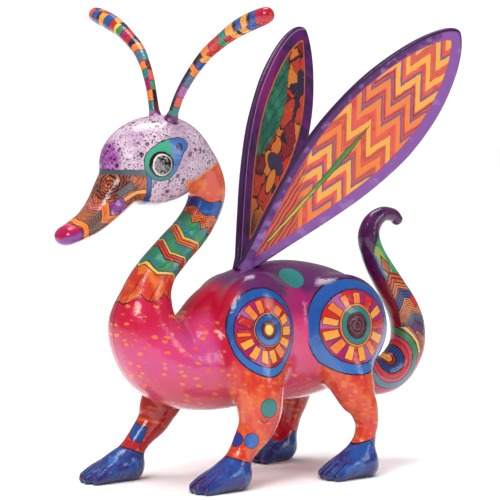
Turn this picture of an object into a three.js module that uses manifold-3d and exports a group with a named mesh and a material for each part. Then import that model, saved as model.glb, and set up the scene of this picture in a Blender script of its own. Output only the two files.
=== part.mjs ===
// A hand-carved and painted wooden fantasy animal: a duck-billed head with two antennae on a
// curved neck, an egg-shaped body on four legs, a curled tail and two leaf-shaped wings.
// The carved pieces are glued together over plain dowels. The wings plug into slots in the back,
// and each antenna turns on a loose dowel pin that pulls out of the head.
// Units are millimetres. +Z is up, the animal faces -X, and its left side is -Y.
import * as THREE from "three";
import { mergeVertices } from "three/addons/utils/BufferGeometryUtils.js";
import Module from "manifold-3d";

const wasm = await Module();
wasm.setup();

// ---- driving dimensions ----

const FIT_GAP = 0.3; // between two pieces that touch
const CENTRE_SHIFT = 1.4755; // moves the finished figure along X, so that its box is centred on the origin
const LEFT = -1;
const RIGHT = 1;

const EGG = { centre: [21, 0, 90], radii: [74, 36, 44.5] };
const SKULL = { centre: [-69.2, 0, 200.2], radii: [35, 26, 27.3], pitch: 9 }; // nose down, in degrees

// A glued seam is a plane: its middle, and the way the piece above it grows.
const COLLAR = { x: -75, z: 121.5, dx: 0.417, dz: 0.909 };
const NAPE = { x: -34.5, z: 188, dx: -0.563, dz: 0.827 };

const LEFT_SHOULDER = { x: -9.5, y: 22, z: 95, radii: [28.5, 19, 36] };
const RIGHT_SHOULDER = { x: -3, y: 22, z: 92, radii: [28, 19, 34] };
const HIP = { x: 52, y: 24, z: 92.5, radii: [33.5, 18, 33.5] };

const EYE = { x: -77.7, y: 25.2, z: 199, radius: 7, bulge: 3.2, sink: 1 };

const WING = {
  rootX: -3.7,
  rootY: 4.7,
  rootZ: 134.7,
  tipX: 96.4,
  tipY: 87,
  tipZ: 279.8,
  twist: -27, // degrees about its own length, from a blade whose width lies fore and aft
  rootDepth: 9, // how far the blade's outline runs on below the back, before it is cut to fit
  thickness: 3.4,
  bevel: 0.7,
};
const TENON = { x: -3.7, y: 5, z: 131.7, width: 8, thickness: 4, depth: 14, above: 4, lean: [0.5, 0.866] };

const ANTENNA = { seatX: -62.4, seatY: 9.35, seatZ: 224.65, axis: [0.17, 0.42, 0.891] };
const ANTENNA_FOOT = { radius: 5, top: 3.1, height: 4 };
const PIN = { radius: 1.5, half: 9 };

const DOWEL_SIDES = 12;
const LEG_DOWEL = { radius: 3.5, inner: 15, outer: 35.5 };
const NECK_DOWEL = { radius: 4, half: 14 };
const HEAD_DOWEL = { radius: 4, half: 11 };
const TAIL_DOWEL = { radius: 4, x: 80, z: 58, back: 13, out: 15 };

// Stations along a limb: [x, y, z, half-width across the limb, half-depth in its plane].
const CHEST_STATIONS = [
  [COLLAR.x, 0, COLLAR.z, 15.2, 15.2],
  [COLLAR.x - 7 * COLLAR.dx, 0, COLLAR.z - 7 * COLLAR.dz, 17.6, 17.2],
  [-76, 0, 97.5, 25.5, 22.5],
  [-63, 0, 78.3, 32, 25.6],
  [-36, 0, 74, 35, 30],
  [0, 0, 80, 33, 33],
  [25, 0, 86, 28, 30],
];
const NECK_STATIONS = [
  [COLLAR.x + FIT_GAP * COLLAR.dx, 0, COLLAR.z + FIT_GAP * COLLAR.dz, 15.1, 15.1],
  [COLLAR.x + 7 * COLLAR.dx, 0, COLLAR.z + 7 * COLLAR.dz, 13.2, 13.2],
  [-56.5, 0, 143.5, 11.4, 11.4],
  [-43.5, 0, 155.5, 11.2, 11.2],
  [-34.8, 0, 168, 11.1, 11.1],
  [NAPE.x - 8 * NAPE.dx, 0, NAPE.z - 8 * NAPE.dz, 11.4, 11.4],
  [NAPE.x - FIT_GAP * NAPE.dx, 0, NAPE.z - FIT_GAP * NAPE.dz, 12.7, 12.7],
];
const NAPE_STATIONS = [
  [NAPE.x, 0, NAPE.z, 12.8, 12.8],
  [NAPE.x + 7 * NAPE.dx, 0, NAPE.z + 7 * NAPE.dz, 15, 15],
  [-49, 0, 202, 18, 19],
  [-62, 0, 204, 18, 18],
];
const BILL_STATIONS = [
  [-80, 0, 196, 19, 17],
  [-92.5, 0, 186.3, 16.5, 14],
  [-103.5, 0, 173.5, 13.5, 10.2],
  [-113, 0, 165.2, 11.6, 8.2],
  [-124.5, 0, 159, 10.4, 6.6],
  [-132, 0, 156.4, 9, 5.7],
  [-136, 0, 155.8, 7.5, 5],
];
const TAIL_STATIONS = [
  [72, 0, 64, 12, 12],
  [84, 0, 58.5, 13, 13],
  [95, 0, 55.5, 12.8, 12.8],
  [106, 0, 57, 12.5, 12.5],
  [115.3, 0, 64, 12.1, 12.1],
  [121, 0, 74, 11.6, 11.6],
  [121, 0, 87, 11.2, 11.2],
  [116.7, 0, 98.5, 10.6, 10.6],
  [108.5, 0, 111, 9.6, 9.6],
  [99, 0, 125, 8.6, 8.6],
  [93, 0, 136, 7.7, 7.7],
  [90.2, 0, 146, 7.2, 7.2],
  [93, 0, 154.6, 6.2, 6.2],
  [100.5, 0, 160, 4.8, 4.8],
  [108.6, 0, 159.4, 3.9, 3.9],
  [113.2, 0, 154, 3.5, 3.5],
];
const ANTENNA_STATIONS = [
  [-60.8, 15.9, 238.3, 3.1, 3.1],
  [-59.3, 21.4, 246.8, 3.2, 3.2],
  [-57.4, 29.8, 256.3, 3.4, 3.4],
  [-55.6, 40.7, 265.5, 3.8, 3.8],
  [-54.4, 53.6, 272.6, 4.2, 4.2],
  [-53.6, 68.6, 279.3, 4.8, 4.8],
  [-53, 83.5, 284, 5.4, 5.4],
  [-52.8, 96.6, 287.1, 5.4, 5.4],
  [-52.8, 106.8, 289, 4.6, 4.6],
];

// Each leg runs from inside its shoulder or hip down to the toes. heel: [x, y, z, rx, ry, rz].
const LEGS = {
  front_left_leg: {
    side: LEFT,
    joint: LEFT_SHOULDER,
    stations: [
      [-12, -27, 85, 13, 23],
      [-15, -33, 69, 14, 18],
      [-16.3, -36, 57, 14, 15.6],
      [-17, -37.5, 46, 13, 14.2],
      [-20, -38, 36.6, 11, 11.6],
      [-26, -38, 28, 8.6, 9.2],
      [-31, -38, 20.5, 8.2, 7.8],
      [-36, -38, 12.5, 10.5, 9.8],
      [-44, -38, 7.5, 12.6, 9.2],
      [-53, -38, 5, 12.4, 7.2],
      [-63.5, -38, 2.6, 9, 4.8],
    ],
    heel: [-35, -38, 8, 11, 10.5, 10],
  },
  rear_left_leg: {
    side: LEFT,
    joint: HIP,
    stations: [
      [50, -28, 82, 13, 22],
      [51, -34, 66, 13, 17],
      [55, -38, 51, 12, 12.4],
      [59, -40, 42.5, 10, 9.4],
      [60.3, -41.5, 34, 8, 7.3],
      [59, -42, 27, 7.3, 6.6],
      [57.5, -42, 20.5, 8.2, 7.6],
      [53, -42, 12.5, 10.8, 9.8],
      [45.5, -42, 7.5, 12.6, 9.2],
      [37, -42, 5, 12, 7.1],
      [28.5, -42, 2.6, 8.6, 4.7],
    ],
    heel: [57.5, -42, 8, 10.2, 11, 10.5],
  },
  front_right_leg: {
    side: RIGHT,
    joint: RIGHT_SHOULDER,
    stations: [
      [-20, 22, 86, 13, 22],
      [-33, 25, 70, 13, 18],
      [-44, 27, 55, 13, 15.5],
      [-51, 27, 43, 12, 12.6],
      [-55.5, 27, 34.4, 10, 10],
      [-62.5, 27, 27, 8.4, 8],
      [-68.5, 27, 20, 8.2, 7.6],
      [-74, 27, 12.8, 10.6, 9.6],
      [-83, 27, 7.8, 12.5, 9.4],
      [-93, 27, 5.2, 12.2, 7.2],
      [-104.5, 27, 2.6, 8.8, 4.7],
    ],
    heel: [-73, 27, 8, 10.6, 10.6, 10],
  },
  rear_right_leg: {
    side: RIGHT,
    joint: HIP,
    stations: [
      [52, 27, 80, 13, 20],
      [54, 32, 62, 13, 16],
      [54.5, 34, 48, 12, 13],
      [53, 34, 38, 10.4, 10.8],
      [50.5, 34, 29, 8.6, 8.8],
      [49, 34, 22.5, 8.2, 8],
      [47.5, 34, 18, 8.8, 8],
      [44, 34, 12, 10.8, 9.6],
      [38, 34, 7.5, 12.2, 9],
      [31, 34, 5, 11.8, 7],
      [23.5, 34, 2.6, 8.6, 4.7],
    ],
    heel: [45, 34, 8, 10, 10.5, 9.6],
  },
};

// ---- paints, as the colour that covers most of each piece ----

const paint = (color, roughness = 0.25) => new THREE.MeshStandardMaterial({ color, roughness, metalness: 0 });
const PAINT = {
  body: paint("#d42a63"),
  neck: paint("#2f9a86"),
  head: paint("#dcc7d6"),
  eye: paint("#8e8e92", 0.12),
  leg: paint("#e8603a"),
  tail: paint("#7d3b6f"),
  wing: paint("#ec6a55"),
  antenna: paint("#e08a35"),
  bareWood: paint("#d9bd8c", 0.75),
};

// ---- shape helpers ----

const X_AXIS = new THREE.Vector3(1, 0, 0);
const Y_AXIS = new THREE.Vector3(0, 1, 0);
const vec = (p) => new THREE.Vector3(p[0], p[1], p[2]);
const mirrored = (p, side) => [p[0], side * p[1], ...p.slice(2)];

function toSolid(geometry) {
  const bare = new THREE.BufferGeometry();
  bare.setAttribute("position", geometry.getAttribute("position"));
  bare.setIndex(geometry.index);
  const merged = mergeVertices(bare, 1e-4);
  const mesh = new wasm.Mesh({
    numProp: 3,
    vertProperties: merged.attributes.position.array,
    triVerts: new Uint32Array(merged.index.array),
  });
  return new wasm.Manifold(mesh);
}

function toGeometry(solid) {
  const mesh = solid.getMesh();
  const geometry = new THREE.BufferGeometry();
  geometry.setAttribute("position", new THREE.BufferAttribute(mesh.vertProperties, 3));
  geometry.setIndex(new THREE.BufferAttribute(mesh.triVerts, 1));
  geometry.computeVertexNormals();
  return geometry;
}

// The biggest of the bodies that a cut leaves.
function mainBody(solid) {
  const bodies = solid.decompose();
  return bodies.reduce((best, body) => (body.volume() > best.volume() ? body : best));
}

function ellipsoid(centre, radii, { grow = 0, around = 24, down = 15, pitch = 0 } = {}) {
  const geometry = new THREE.SphereGeometry(1, around, down);
  geometry.scale(radii[0] + grow, radii[1] + grow, radii[2] + grow);
  geometry.rotateY(-THREE.MathUtils.degToRad(pitch));
  geometry.translate(...centre);
  return toSolid(geometry);
}

// A round or oval limb: a cylinder whose rings are moved onto a smooth curve through the stations.
// Its width is measured along the level direction, as near as the curve allows.
// Past roundFrom, a share of the length, the rings shrink to close the end in a dome.
function limb(stations, { sides = 14, rings = 24, grow = 0, roundFrom = 1, level = Y_AXIS } = {}) {
  const path = new THREE.CatmullRomCurve3(stations.map(vec), false, "catmullrom");
  const sizes = new THREE.CatmullRomCurve3(
    stations.map((s) => new THREE.Vector3(s[3] + grow, s[4] + grow, 0)),
    false,
    "catmullrom",
  );
  const geometry = new THREE.CylinderGeometry(1, 1, 1, sides, rings);
  const position = geometry.getAttribute("position");
  const across = new THREE.Vector3();
  const inPlane = new THREE.Vector3();
  for (let i = 0; i < position.count; i++) {
    let t = 0.5 - position.getY(i);
    if (t > roundFrom) t = roundFrom + (1 - roundFrom) * Math.sin(((t - roundFrom) / (1 - roundFrom)) * (Math.PI / 2));
    const dome = t > roundFrom ? Math.sqrt(Math.max(1 - ((t - roundFrom) / (1 - roundFrom)) ** 2, 1e-4)) : 1;
    const tangent = path.getTangent(t);
    across.copy(level).addScaledVector(tangent, -level.dot(tangent)).normalize();
    inPlane.crossVectors(tangent, across);
    const size = sizes.getPoint(t).multiplyScalar(dome);
    const point = path
      .getPoint(t)
      .addScaledVector(across, position.getX(i) * size.x)
      .addScaledVector(inPlane, position.getZ(i) * size.y);
    position.setXYZ(i, point.x, point.y, point.z);
  }
  return toSolid(geometry);
}

// A plain cylinder between two points.
function rod(from, to, radius, { sides = DOWEL_SIDES, topRadius = radius } = {}) {
  const start = vec(from);
  const along = vec(to).sub(start);
  const geometry = new THREE.CylinderGeometry(topRadius, radius, along.length(), sides);
  geometry.translate(0, along.length() / 2, 0);
  geometry.applyQuaternion(
    new THREE.Quaternion().setFromUnitVectors(Y_AXIS, along.clone().normalize()),
  );
  geometry.translate(start.x, start.y, start.z);
  return toSolid(geometry);
}

// A dowel and the hole for it, which has clearance all round and a little room past each end.
function dowel(from, to, radius) {
  const way = vec(to).sub(vec(from)).normalize().multiplyScalar(FIT_GAP * 2);
  const before = vec(from).sub(way).toArray();
  const after = vec(to).add(way).toArray();
  return { peg: rod(from, to, radius), hole: rod(before, after, radius + FIT_GAP) };
}

// ---- body ----

function torsoBlank(grow = 0) {
  const egg = ellipsoid(EGG.centre, EGG.radii, { grow, around: 26, down: 16 });
  return egg.add(limb(CHEST_STATIONS, { sides: 22, rings: 14, grow }));
}

function floorCut() {
  const slab = new THREE.BoxGeometry(400, 200, 40);
  slab.translate(0, 0, -20);
  return toSolid(slab);
}

// ---- head ----

function headBlank() {
  const skull = ellipsoid(SKULL.centre, SKULL.radii, { pitch: SKULL.pitch });
  const nape = limb(NAPE_STATIONS, { sides: 14, rings: 5 });
  const bill = limb(BILL_STATIONS, { sides: 14, rings: 12, roundFrom: 0.9 });
  return skull.add(nape).add(bill);
}

// A lens-shaped bead set into the side of the skull, square to its surface.
function eyeBead(side, grow = 0) {
  const centre = vec(SKULL.centre);
  const onSkin = new THREE.Vector3(EYE.x, side * EYE.y, EYE.z);
  const outward = onSkin.clone().sub(centre);
  outward.set(...SKULL.radii.map((r, i) => outward.getComponent(i) / r ** 2)).normalize();
  const geometry = new THREE.SphereGeometry(1, 18, 10);
  geometry.scale(EYE.radius + grow, EYE.bulge + grow, EYE.radius + grow);
  geometry.applyQuaternion(new THREE.Quaternion().setFromUnitVectors(Y_AXIS, outward));
  const place = onSkin.addScaledVector(outward, -EYE.sink);
  geometry.translate(place.x, place.y, place.z);
  return toSolid(geometry);
}

// ---- antennae ----

function antennaAxis(side) {
  return vec(mirrored(ANTENNA.axis, side)).normalize();
}

function alongAntenna(side, distance) {
  const seat = new THREE.Vector3(ANTENNA.seatX, side * ANTENNA.seatY, ANTENNA.seatZ);
  return seat.addScaledVector(antennaAxis(side), distance).toArray();
}

// The flat seat cut into the skull, on which the antenna's foot turns.
function antennaSeat(side) {
  return rod(alongAntenna(side, 0), alongAntenna(side, 6), ANTENNA_FOOT.radius + 0.6, { sides: 20 });
}

function antennaBlank(side) {
  const foot = rod(
    alongAntenna(side, FIT_GAP),
    alongAntenna(side, FIT_GAP + ANTENNA_FOOT.height),
    ANTENNA_FOOT.radius,
    { sides: 14, topRadius: ANTENNA_FOOT.top },
  );
  const base = [...alongAntenna(side, FIT_GAP + 1), 3.2, 3.2];
  const stations = [base, ...ANTENNA_STATIONS.map((s) => mirrored(s, side))];
  return foot.add(limb(stations, { sides: 10, rings: 18, roundFrom: 0.95, level: X_AXIS }));
}

// ---- wings ----

function wingFrame(side) {
  const root = new THREE.Vector3(WING.rootX, side * WING.rootY, WING.rootZ);
  const tip = new THREE.Vector3(WING.tipX, side * WING.tipY, WING.tipZ);
  const length = tip.clone().sub(root);
  const span = length.length();
  const along = length.normalize();
  const wide = new THREE.Vector3(1, 0, 0).addScaledVector(along, -along.x).normalize();
  wide.applyAxisAngle(along, side * -THREE.MathUtils.degToRad(WING.twist));
  const thick = new THREE.Vector3().crossVectors(along, wide);
  return { root, span, along, wide, thick };
}

// The leaf outline, with x along the wing and y across it: the leading edge has y below 0.
function wingOutline(span) {
  const shape = new THREE.Shape();
  shape.moveTo(-WING.rootDepth, -5);
  shape.lineTo(0, -5.5);
  shape.bezierCurveTo(40, -16.5, 70, -27.5, 108, -27.5);
  shape.bezierCurveTo(152, -27.5, span, -12, span, 1);
  shape.bezierCurveTo(span - 3, 10, 160, 30.5, 116, 31);
  shape.bezierCurveTo(78, 31, 40, 16, 0, 5.5);
  shape.lineTo(-WING.rootDepth, 5.5);
  shape.closePath();
  return shape;
}

// Everything past the middle plane, which keeps the two blades' roots apart.
function otherHalf(side) {
  const block = new THREE.BoxGeometry(400, 100, 200);
  block.translate(0, side * (FIT_GAP / 2 - 50), 200);
  return toSolid(block);
}

function wingBlade(side) {
  const { root, span, along, wide, thick } = wingFrame(side);
  const geometry = new THREE.ExtrudeGeometry(wingOutline(span - WING.bevel), {
    depth: WING.thickness,
    curveSegments: 10,
    bevelThickness: WING.bevel,
    bevelSize: WING.bevel,
    bevelOffset: -WING.bevel,
    bevelSegments: 1,
  });
  geometry.translate(0, 0, -WING.thickness / 2);
  geometry.applyMatrix4(new THREE.Matrix4().makeBasis(along, wide, thick).setPosition(root));
  return toSolid(geometry).subtract(otherHalf(side));
}

// The tenon slides along its own lean, which is the way the wing plugs in.
function tenon(side, grow = 0) {
  const high = TENON.above + grow;
  const low = TENON.depth + 2 * grow;
  const geometry = new THREE.BoxGeometry(TENON.width + 2 * grow, TENON.thickness + 2 * grow, high + low);
  geometry.translate(0, 0, (high - low) / 2);
  geometry.rotateY(Math.atan2(...TENON.lean));
  geometry.translate(TENON.x, side * TENON.y, TENON.z);
  return toSolid(geometry);
}

// ---- legs ----

function legBlank({ side, joint, stations, heel }) {
  const dome = ellipsoid([joint.x, side * joint.y, joint.z], joint.radii, { around: 20, down: 12 });
  const shank = limb(stations, { sides: 12, rings: 18, roundFrom: 0.93 });
  const heelPad = ellipsoid(heel.slice(0, 3), heel.slice(3), { around: 12, down: 8 });
  return dome.add(shank).add(heelPad).subtract(floorCut());
}

function legDowel({ side, joint }) {
  const from = [joint.x, side * LEG_DOWEL.inner, joint.z - 2];
  const to = [joint.x, side * LEG_DOWEL.outer, joint.z - 2];
  return dowel(from, to, LEG_DOWEL.radius);
}

// ---- dowels on the centre line ----

function seamDowel(seam, { radius, half }) {
  const end = (way) => [seam.x + way * half * seam.dx, 0, seam.z + way * half * seam.dz];
  return dowel(end(-1), end(1), radius);
}

function tailDowel() {
  const { radius, x, z, back, out } = TAIL_DOWEL;
  return dowel([x - back, 0, z + back / 3], [x + out, 0, z - out / 3], radius);
}

// ---- assembly ----

const figure = new THREE.Group();

function place(name, solid, material) {
  const mesh = new THREE.Mesh(toGeometry(mainBody(solid)), material);
  mesh.name = name;
  figure.add(mesh);
}

const bothSides = [
  ["left", LEFT],
  ["right", RIGHT],
];
const grownTorso = torsoBlank(FIT_GAP);
const neckDowel = seamDowel(COLLAR, NECK_DOWEL);
const headDowel = seamDowel(NAPE, HEAD_DOWEL);
const rumpDowel = tailDowel();

let torso = torsoBlank().subtract(neckDowel.hole).subtract(rumpDowel.hole);
let head = headBlank().subtract(headDowel.hole);

for (const [name, leg] of Object.entries(LEGS)) {
  const { peg, hole } = legDowel(leg);
  place(name, legBlank(leg).subtract(grownTorso).subtract(hole), PAINT.leg);
  place(name + "_dowel", peg, PAINT.bareWood);
  torso = torso.subtract(hole);
}

for (const [word, side] of bothSides) {
  place(word + "_wing", wingBlade(side).subtract(grownTorso).add(tenon(side)), PAINT.wing);
  torso = torso.subtract(tenon(side, FIT_GAP));

  place(word + "_eye", eyeBead(side), PAINT.eye);
  head = head.subtract(eyeBead(side, FIT_GAP));

  const pin = dowel(alongAntenna(side, -PIN.half), alongAntenna(side, PIN.half), PIN.radius);
  place(word + "_antenna", antennaBlank(side).subtract(pin.hole), PAINT.antenna);
  place(word + "_antenna_pin", pin.peg, PAINT.bareWood);
  head = head.subtract(pin.hole).subtract(antennaSeat(side));
}

place("torso", torso, PAINT.body);
place("head", head, PAINT.head);
place(
  "neck",
  limb(NECK_STATIONS, { sides: 16, rings: 16 }).subtract(neckDowel.hole).subtract(headDowel.hole),
  PAINT.neck,
);
place(
  "tail",
  limb(TAIL_STATIONS, { sides: 12, rings: 36, roundFrom: 0.975 }).subtract(grownTorso).subtract(rumpDowel.hole),
  PAINT.tail,
);
place("neck_dowel", neckDowel.peg, PAINT.bareWood);
place("head_dowel", headDowel.peg, PAINT.bareWood);
place("tail_dowel", rumpDowel.peg, PAINT.bareWood);

figure.position.x = CENTRE_SHIFT;

export default figure;
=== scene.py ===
"""Looks for a carved and painted wooden fantasy animal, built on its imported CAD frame.

The carved shapes are fields: a number for each point, below 0 inside the wood. Limbs, domes and
the skull are blended with small fillets, the surface is meshed, and it is parted into the same
pieces as the CAD model. The paintwork is procedural. Lengths in the tables are millimetres.
"""

import itertools
import math

import bmesh
import bpy
import numpy as np
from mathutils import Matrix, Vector


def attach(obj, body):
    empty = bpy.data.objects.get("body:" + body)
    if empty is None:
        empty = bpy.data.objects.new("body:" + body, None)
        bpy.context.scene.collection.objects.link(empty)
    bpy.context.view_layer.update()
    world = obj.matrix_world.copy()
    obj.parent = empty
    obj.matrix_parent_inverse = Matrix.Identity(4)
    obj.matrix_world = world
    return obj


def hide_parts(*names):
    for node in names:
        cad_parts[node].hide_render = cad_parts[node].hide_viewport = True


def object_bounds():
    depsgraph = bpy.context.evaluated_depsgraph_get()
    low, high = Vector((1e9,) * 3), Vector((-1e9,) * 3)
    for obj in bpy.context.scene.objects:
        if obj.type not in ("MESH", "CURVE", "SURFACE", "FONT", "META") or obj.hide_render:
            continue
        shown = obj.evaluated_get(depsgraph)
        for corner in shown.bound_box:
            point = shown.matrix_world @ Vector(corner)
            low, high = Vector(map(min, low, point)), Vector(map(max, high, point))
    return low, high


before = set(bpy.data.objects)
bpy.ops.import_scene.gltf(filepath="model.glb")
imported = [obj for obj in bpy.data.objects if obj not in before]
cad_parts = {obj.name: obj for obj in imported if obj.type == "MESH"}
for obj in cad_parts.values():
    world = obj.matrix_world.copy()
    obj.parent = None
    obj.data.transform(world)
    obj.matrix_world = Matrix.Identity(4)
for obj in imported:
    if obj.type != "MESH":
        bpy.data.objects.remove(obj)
cad_box = [list(corner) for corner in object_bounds()]

# ---- sizes, in millimetres, in the frame the figure was designed in ----

SIDES = (-1, 1)  # left and right
CENTRE_SHIFT = np.array([1.4755, 0, 0])  # from the design frame to the row frame
FAR = 20.0  # the value of a field well outside its shape
MARGIN = 10  # how far out of its shape a field is worked out
TINY = 1e-9  # keeps a division from dividing by nothing
CHUNK = 50000  # points handled at once, to save memory
LIMB_STEP = 1.5  # between the rows of a limb's table
NEWTON_SLOPES = (0.35, 6)  # limits on the slope, when looking for the nearest point of a limb
BODY_PITCH = 1.0  # the sizes of the grid cells that the surfaces are found in
WING_PITCH = 1.0
ANTENNA_PITCH = 0.7
FIT_GAP = 0.3  # between loose pieces
FIGURE_REACH = (-141, -58, -2), (139, 58, 231)  # boxes that hold each shape
WING_REACH = (-26, -34, -15), (198, 36, 15)  # along the wing's own axes
# The fillet where each shape is blended into the others.
FILLETS = dict(collar=8, skull=5, bill=2.2, tail=8, leg=6, dome=9, heel=6, toe=2.2, toes=2.5, tenon=0.8)

EGG = ((21, 0, 90), (74, 36, 44.5))
SKULL = ((-69.2, 0, 200.2), (35, 26, 27.3))
SKULL_PITCH = math.radians(9)
EYE = dict(x=-77.7, y=25.2, z=199, radius=7, bulge=3.2, sink=1)

NAPE, COLLAR = (-34.5, 0, 188), (-74.5, 0, 121.6)  # the middles of the neck's two seams

# The limbs in the plane of symmetry: x, z, half-width and half-depth at each station.
SPINE = (
    (-66, 204, 17, 17), (-55, 203.5, 17.6, 17.6), (-44.5, 198.5, 16, 16.4),
    (-36, 190.2, 13.4, 13.6), (-31.6, 179.5, 11.6, 11.6), (-34.8, 168, 11.1, 11.1),
    (-43.5, 155.5, 11.2, 11.2), (-56, 144, 11.5, 11.5), (-67.8, 131.8, 12.5, 12.5),
    (-74.6, 117, 16.4, 16.2), (-76, 98.5, 25, 22.2), (-63, 78.3, 32, 25.6), (-36, 74, 35, 30),
    (0, 80, 33, 33), (20, 85, 28, 30),
)
BILL = (
    (-80, 196, 19, 17), (-92.5, 186.3, 16.5, 14), (-103.5, 173.5, 13.5, 10.2),
    (-113, 165.2, 11.6, 8.2), (-124, 159.2, 10.4, 6.6), (-128.2, 157.4, 9.6, 6),
)
TAIL = (
    (72, 64, 12, 12), (84, 58.5, 13, 13), (95, 55.5, 12.8, 12.8), (106, 57, 12.5, 12.5),
    (115.3, 64, 12.1, 12.1), (121, 74, 11.6, 11.6), (121, 87, 11.2, 11.2),
    (116.7, 98.5, 10.6, 10.6), (108.5, 111, 9.6, 9.6), (99, 125, 8.6, 8.6), (93, 136, 7.7, 7.7),
    (90.2, 146, 7.2, 7.2), (93, 154.6, 6.2, 6.2), (100.5, 160, 5, 5), (108.6, 159.4, 4.3, 4.3),
    (112, 156.4, 3.9, 3.9),
)
SHOULDER_LEFT = ((-9.5, -22, 95), (28.5, 19, 36))
SHOULDER_RIGHT = ((-3, 22, 92), (28, 19, 34))
HIP_LEFT = ((52, -24, 92.5), (33.5, 18, 33.5))
HIP_RIGHT = ((52, 24, 92.5), (33.5, 18, 33.5))

# Each leg: its dome, its shank's stations (x, y, z, half-width, half-depth), its heel,
# and the x at which the toes start and end.
LEGS = {
    "front_left_leg": dict(
        dome=SHOULDER_LEFT,
        shank=(
            (-12, -27, 85, 13, 23), (-15, -33, 69, 14, 18), (-16.3, -36, 57, 14, 15.6),
            (-17, -37.5, 46, 13, 14.2), (-20, -38, 36.6, 11, 11.6), (-26, -38, 28, 8.6, 9.2),
            (-31, -38, 20.5, 8.2, 7.8), (-36, -38, 12.5, 10, 9.4), (-44, -38, 7.5, 11.4, 8.8),
            (-50, -38, 4.5, 10.4, 6.8),
        ),
        heel=((-35, -38, 8), (10.6, 10, 9.6)),
        toes=(-43, -62),
    ),
    "rear_left_leg": dict(
        dome=HIP_LEFT,
        shank=(
            (50, -28, 82, 13, 22), (51, -34, 66, 13, 17), (55, -38, 51, 12, 12.4),
            (59, -40, 42.5, 10, 9.4), (60.3, -41.5, 34, 8, 7.3), (59, -42, 27, 7.3, 6.6),
            (57.5, -42, 20.5, 8.2, 7.6), (53, -42, 12.5, 10.4, 9.4), (45.5, -42, 7.5, 11.4, 8.8),
            (40, -42, 4.6, 10.2, 6.6),
        ),
        heel=((57.5, -42, 8), (9.8, 10.4, 10)),
        toes=(46.5, 30),
    ),
    "front_right_leg": dict(
        dome=SHOULDER_RIGHT,
        shank=(
            (-20, 22, 86, 13, 22), (-33, 25, 70, 13, 18), (-44, 27, 55, 13, 15.5),
            (-51, 27, 43, 12, 12.6), (-55.5, 27, 34.4, 10, 10), (-62.5, 27, 27, 8.4, 8),
            (-68.5, 27, 20, 8.2, 7.6), (-74, 27, 12.8, 10.2, 9.2), (-83, 27, 7.8, 11.4, 9),
            (-90, 27, 4.6, 10.4, 6.8),
        ),
        heel=((-73, 27, 8), (10.2, 10, 9.6)),
        toes=(-83, -103),
    ),
    "rear_right_leg": dict(
        dome=HIP_RIGHT,
        shank=(
            (52, 27, 80, 13, 20), (54, 32, 62, 13, 16), (54.5, 34, 48, 12, 13),
            (53, 34, 38, 10.4, 10.8), (50.5, 34, 29, 8.6, 8.8), (49, 34, 22.5, 8.2, 8),
            (47.5, 34, 18, 8.8, 8), (44, 34, 12, 10.4, 9.2), (38, 34, 7.5, 11.2, 8.6),
            (33, 34, 4.6, 10, 6.6),
        ),
        heel=((45, 34, 8), (9.6, 10, 9.2)),
        toes=(39, 25),
    ),
}
# A toe's stations: share of its length, distance out, height, half-width, half-depth.
TOE = ((0, 7.2, 8.6, 4.2, 5.2), (0.4, 8.0, 6.8, 4, 4.8), (0.75, 8.6, 4.4, 3.7, 4), (1, 8.8, 2.8, 3.1, 3.1))
TOE_SPREADS = ((-1, 0.84), (-0.34, 1), (0.34, 0.98), (1, 0.8))  # how far to one side, and how long

ANTENNA = (
    (-60.8, 15.9, 238.3, 3.1, 3.1), (-59.3, 21.4, 246.8, 3.2, 3.2), (-57.4, 29.8, 256.3, 3.4, 3.4),
    (-55.6, 40.7, 265.5, 3.8, 3.8), (-54.4, 53.6, 272.6, 4.2, 4.2), (-53.6, 68.6, 279.3, 4.8, 4.8),
    (-53, 83.5, 284, 5.3, 5.3), (-52.8, 96.6, 287.1, 5.3, 5.3), (-52.8, 102, 288.2, 4.9, 4.9),
)
ANTENNA_SEAT = (-62.4, 9.35, 224.65)
ANTENNA_AXIS = (0.17007, 0.420172, 0.891365)
SEAT_RADIUS, PIN_RADIUS, PIN_HALF = 5.6, 1.5, 9

WING_ROOT, WING_TIP = (-3.7, 4.7, 134.7), (96.4, 87, 279.8)
WING_TWIST = math.radians(-27)
WING_THICKNESS, WING_ROOT_DEPTH = 4.8, 9
WING_GAP = 0.6  # between a wing's blade and the body
WING_FLAT = 0.2  # half the thickness that is left flat between the round edges
SLOT_MOUTH = 12  # how far a slot is cut on above its tenon, out through the skin
TENON = dict(at=(-3.7, 5, 131.7), width=8, thickness=4, depth=14, above=4, lean=(0.5, 0.866))


# ---- fields ----


def smooth_union(a, b, fillet):
    """The field of both shapes, with a fillet where they meet."""
    overlap = np.maximum(fillet - np.abs(a - b), 0) / fillet
    return np.minimum(a, b) - overlap * overlap * fillet / 4


def within(points, low, high):
    """Which points are in a box."""
    return np.flatnonzero(((points > low) & (points < high)).all(axis=1))


class Ellipsoid:
    """An ellipsoid, which may be tipped about the axis across the figure."""

    def __init__(self, centre, radii, pitch=0.0):
        self.centre, self.radii, self.pitch = np.array(centre, float), np.array(radii, float), pitch
        reach = self.radii.max() + MARGIN
        self.low, self.high = self.centre - reach, self.centre + reach

    def __call__(self, points):
        out = np.full(len(points), FAR)
        near = within(points, self.low, self.high)
        q = points[near] - self.centre
        if self.pitch:
            c, s = math.cos(self.pitch), math.sin(self.pitch)
            q = np.column_stack([q[:, 0] * c + q[:, 2] * s, q[:, 1], q[:, 2] * c - q[:, 0] * s])
        k = np.sqrt(((q / self.radii) ** 2).sum(axis=1)) + TINY
        g = np.sqrt(((q / self.radii**2) ** 2).sum(axis=1)) + TINY
        out[near] = np.minimum(k * (k - 1) / g, FAR)
        return out


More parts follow.
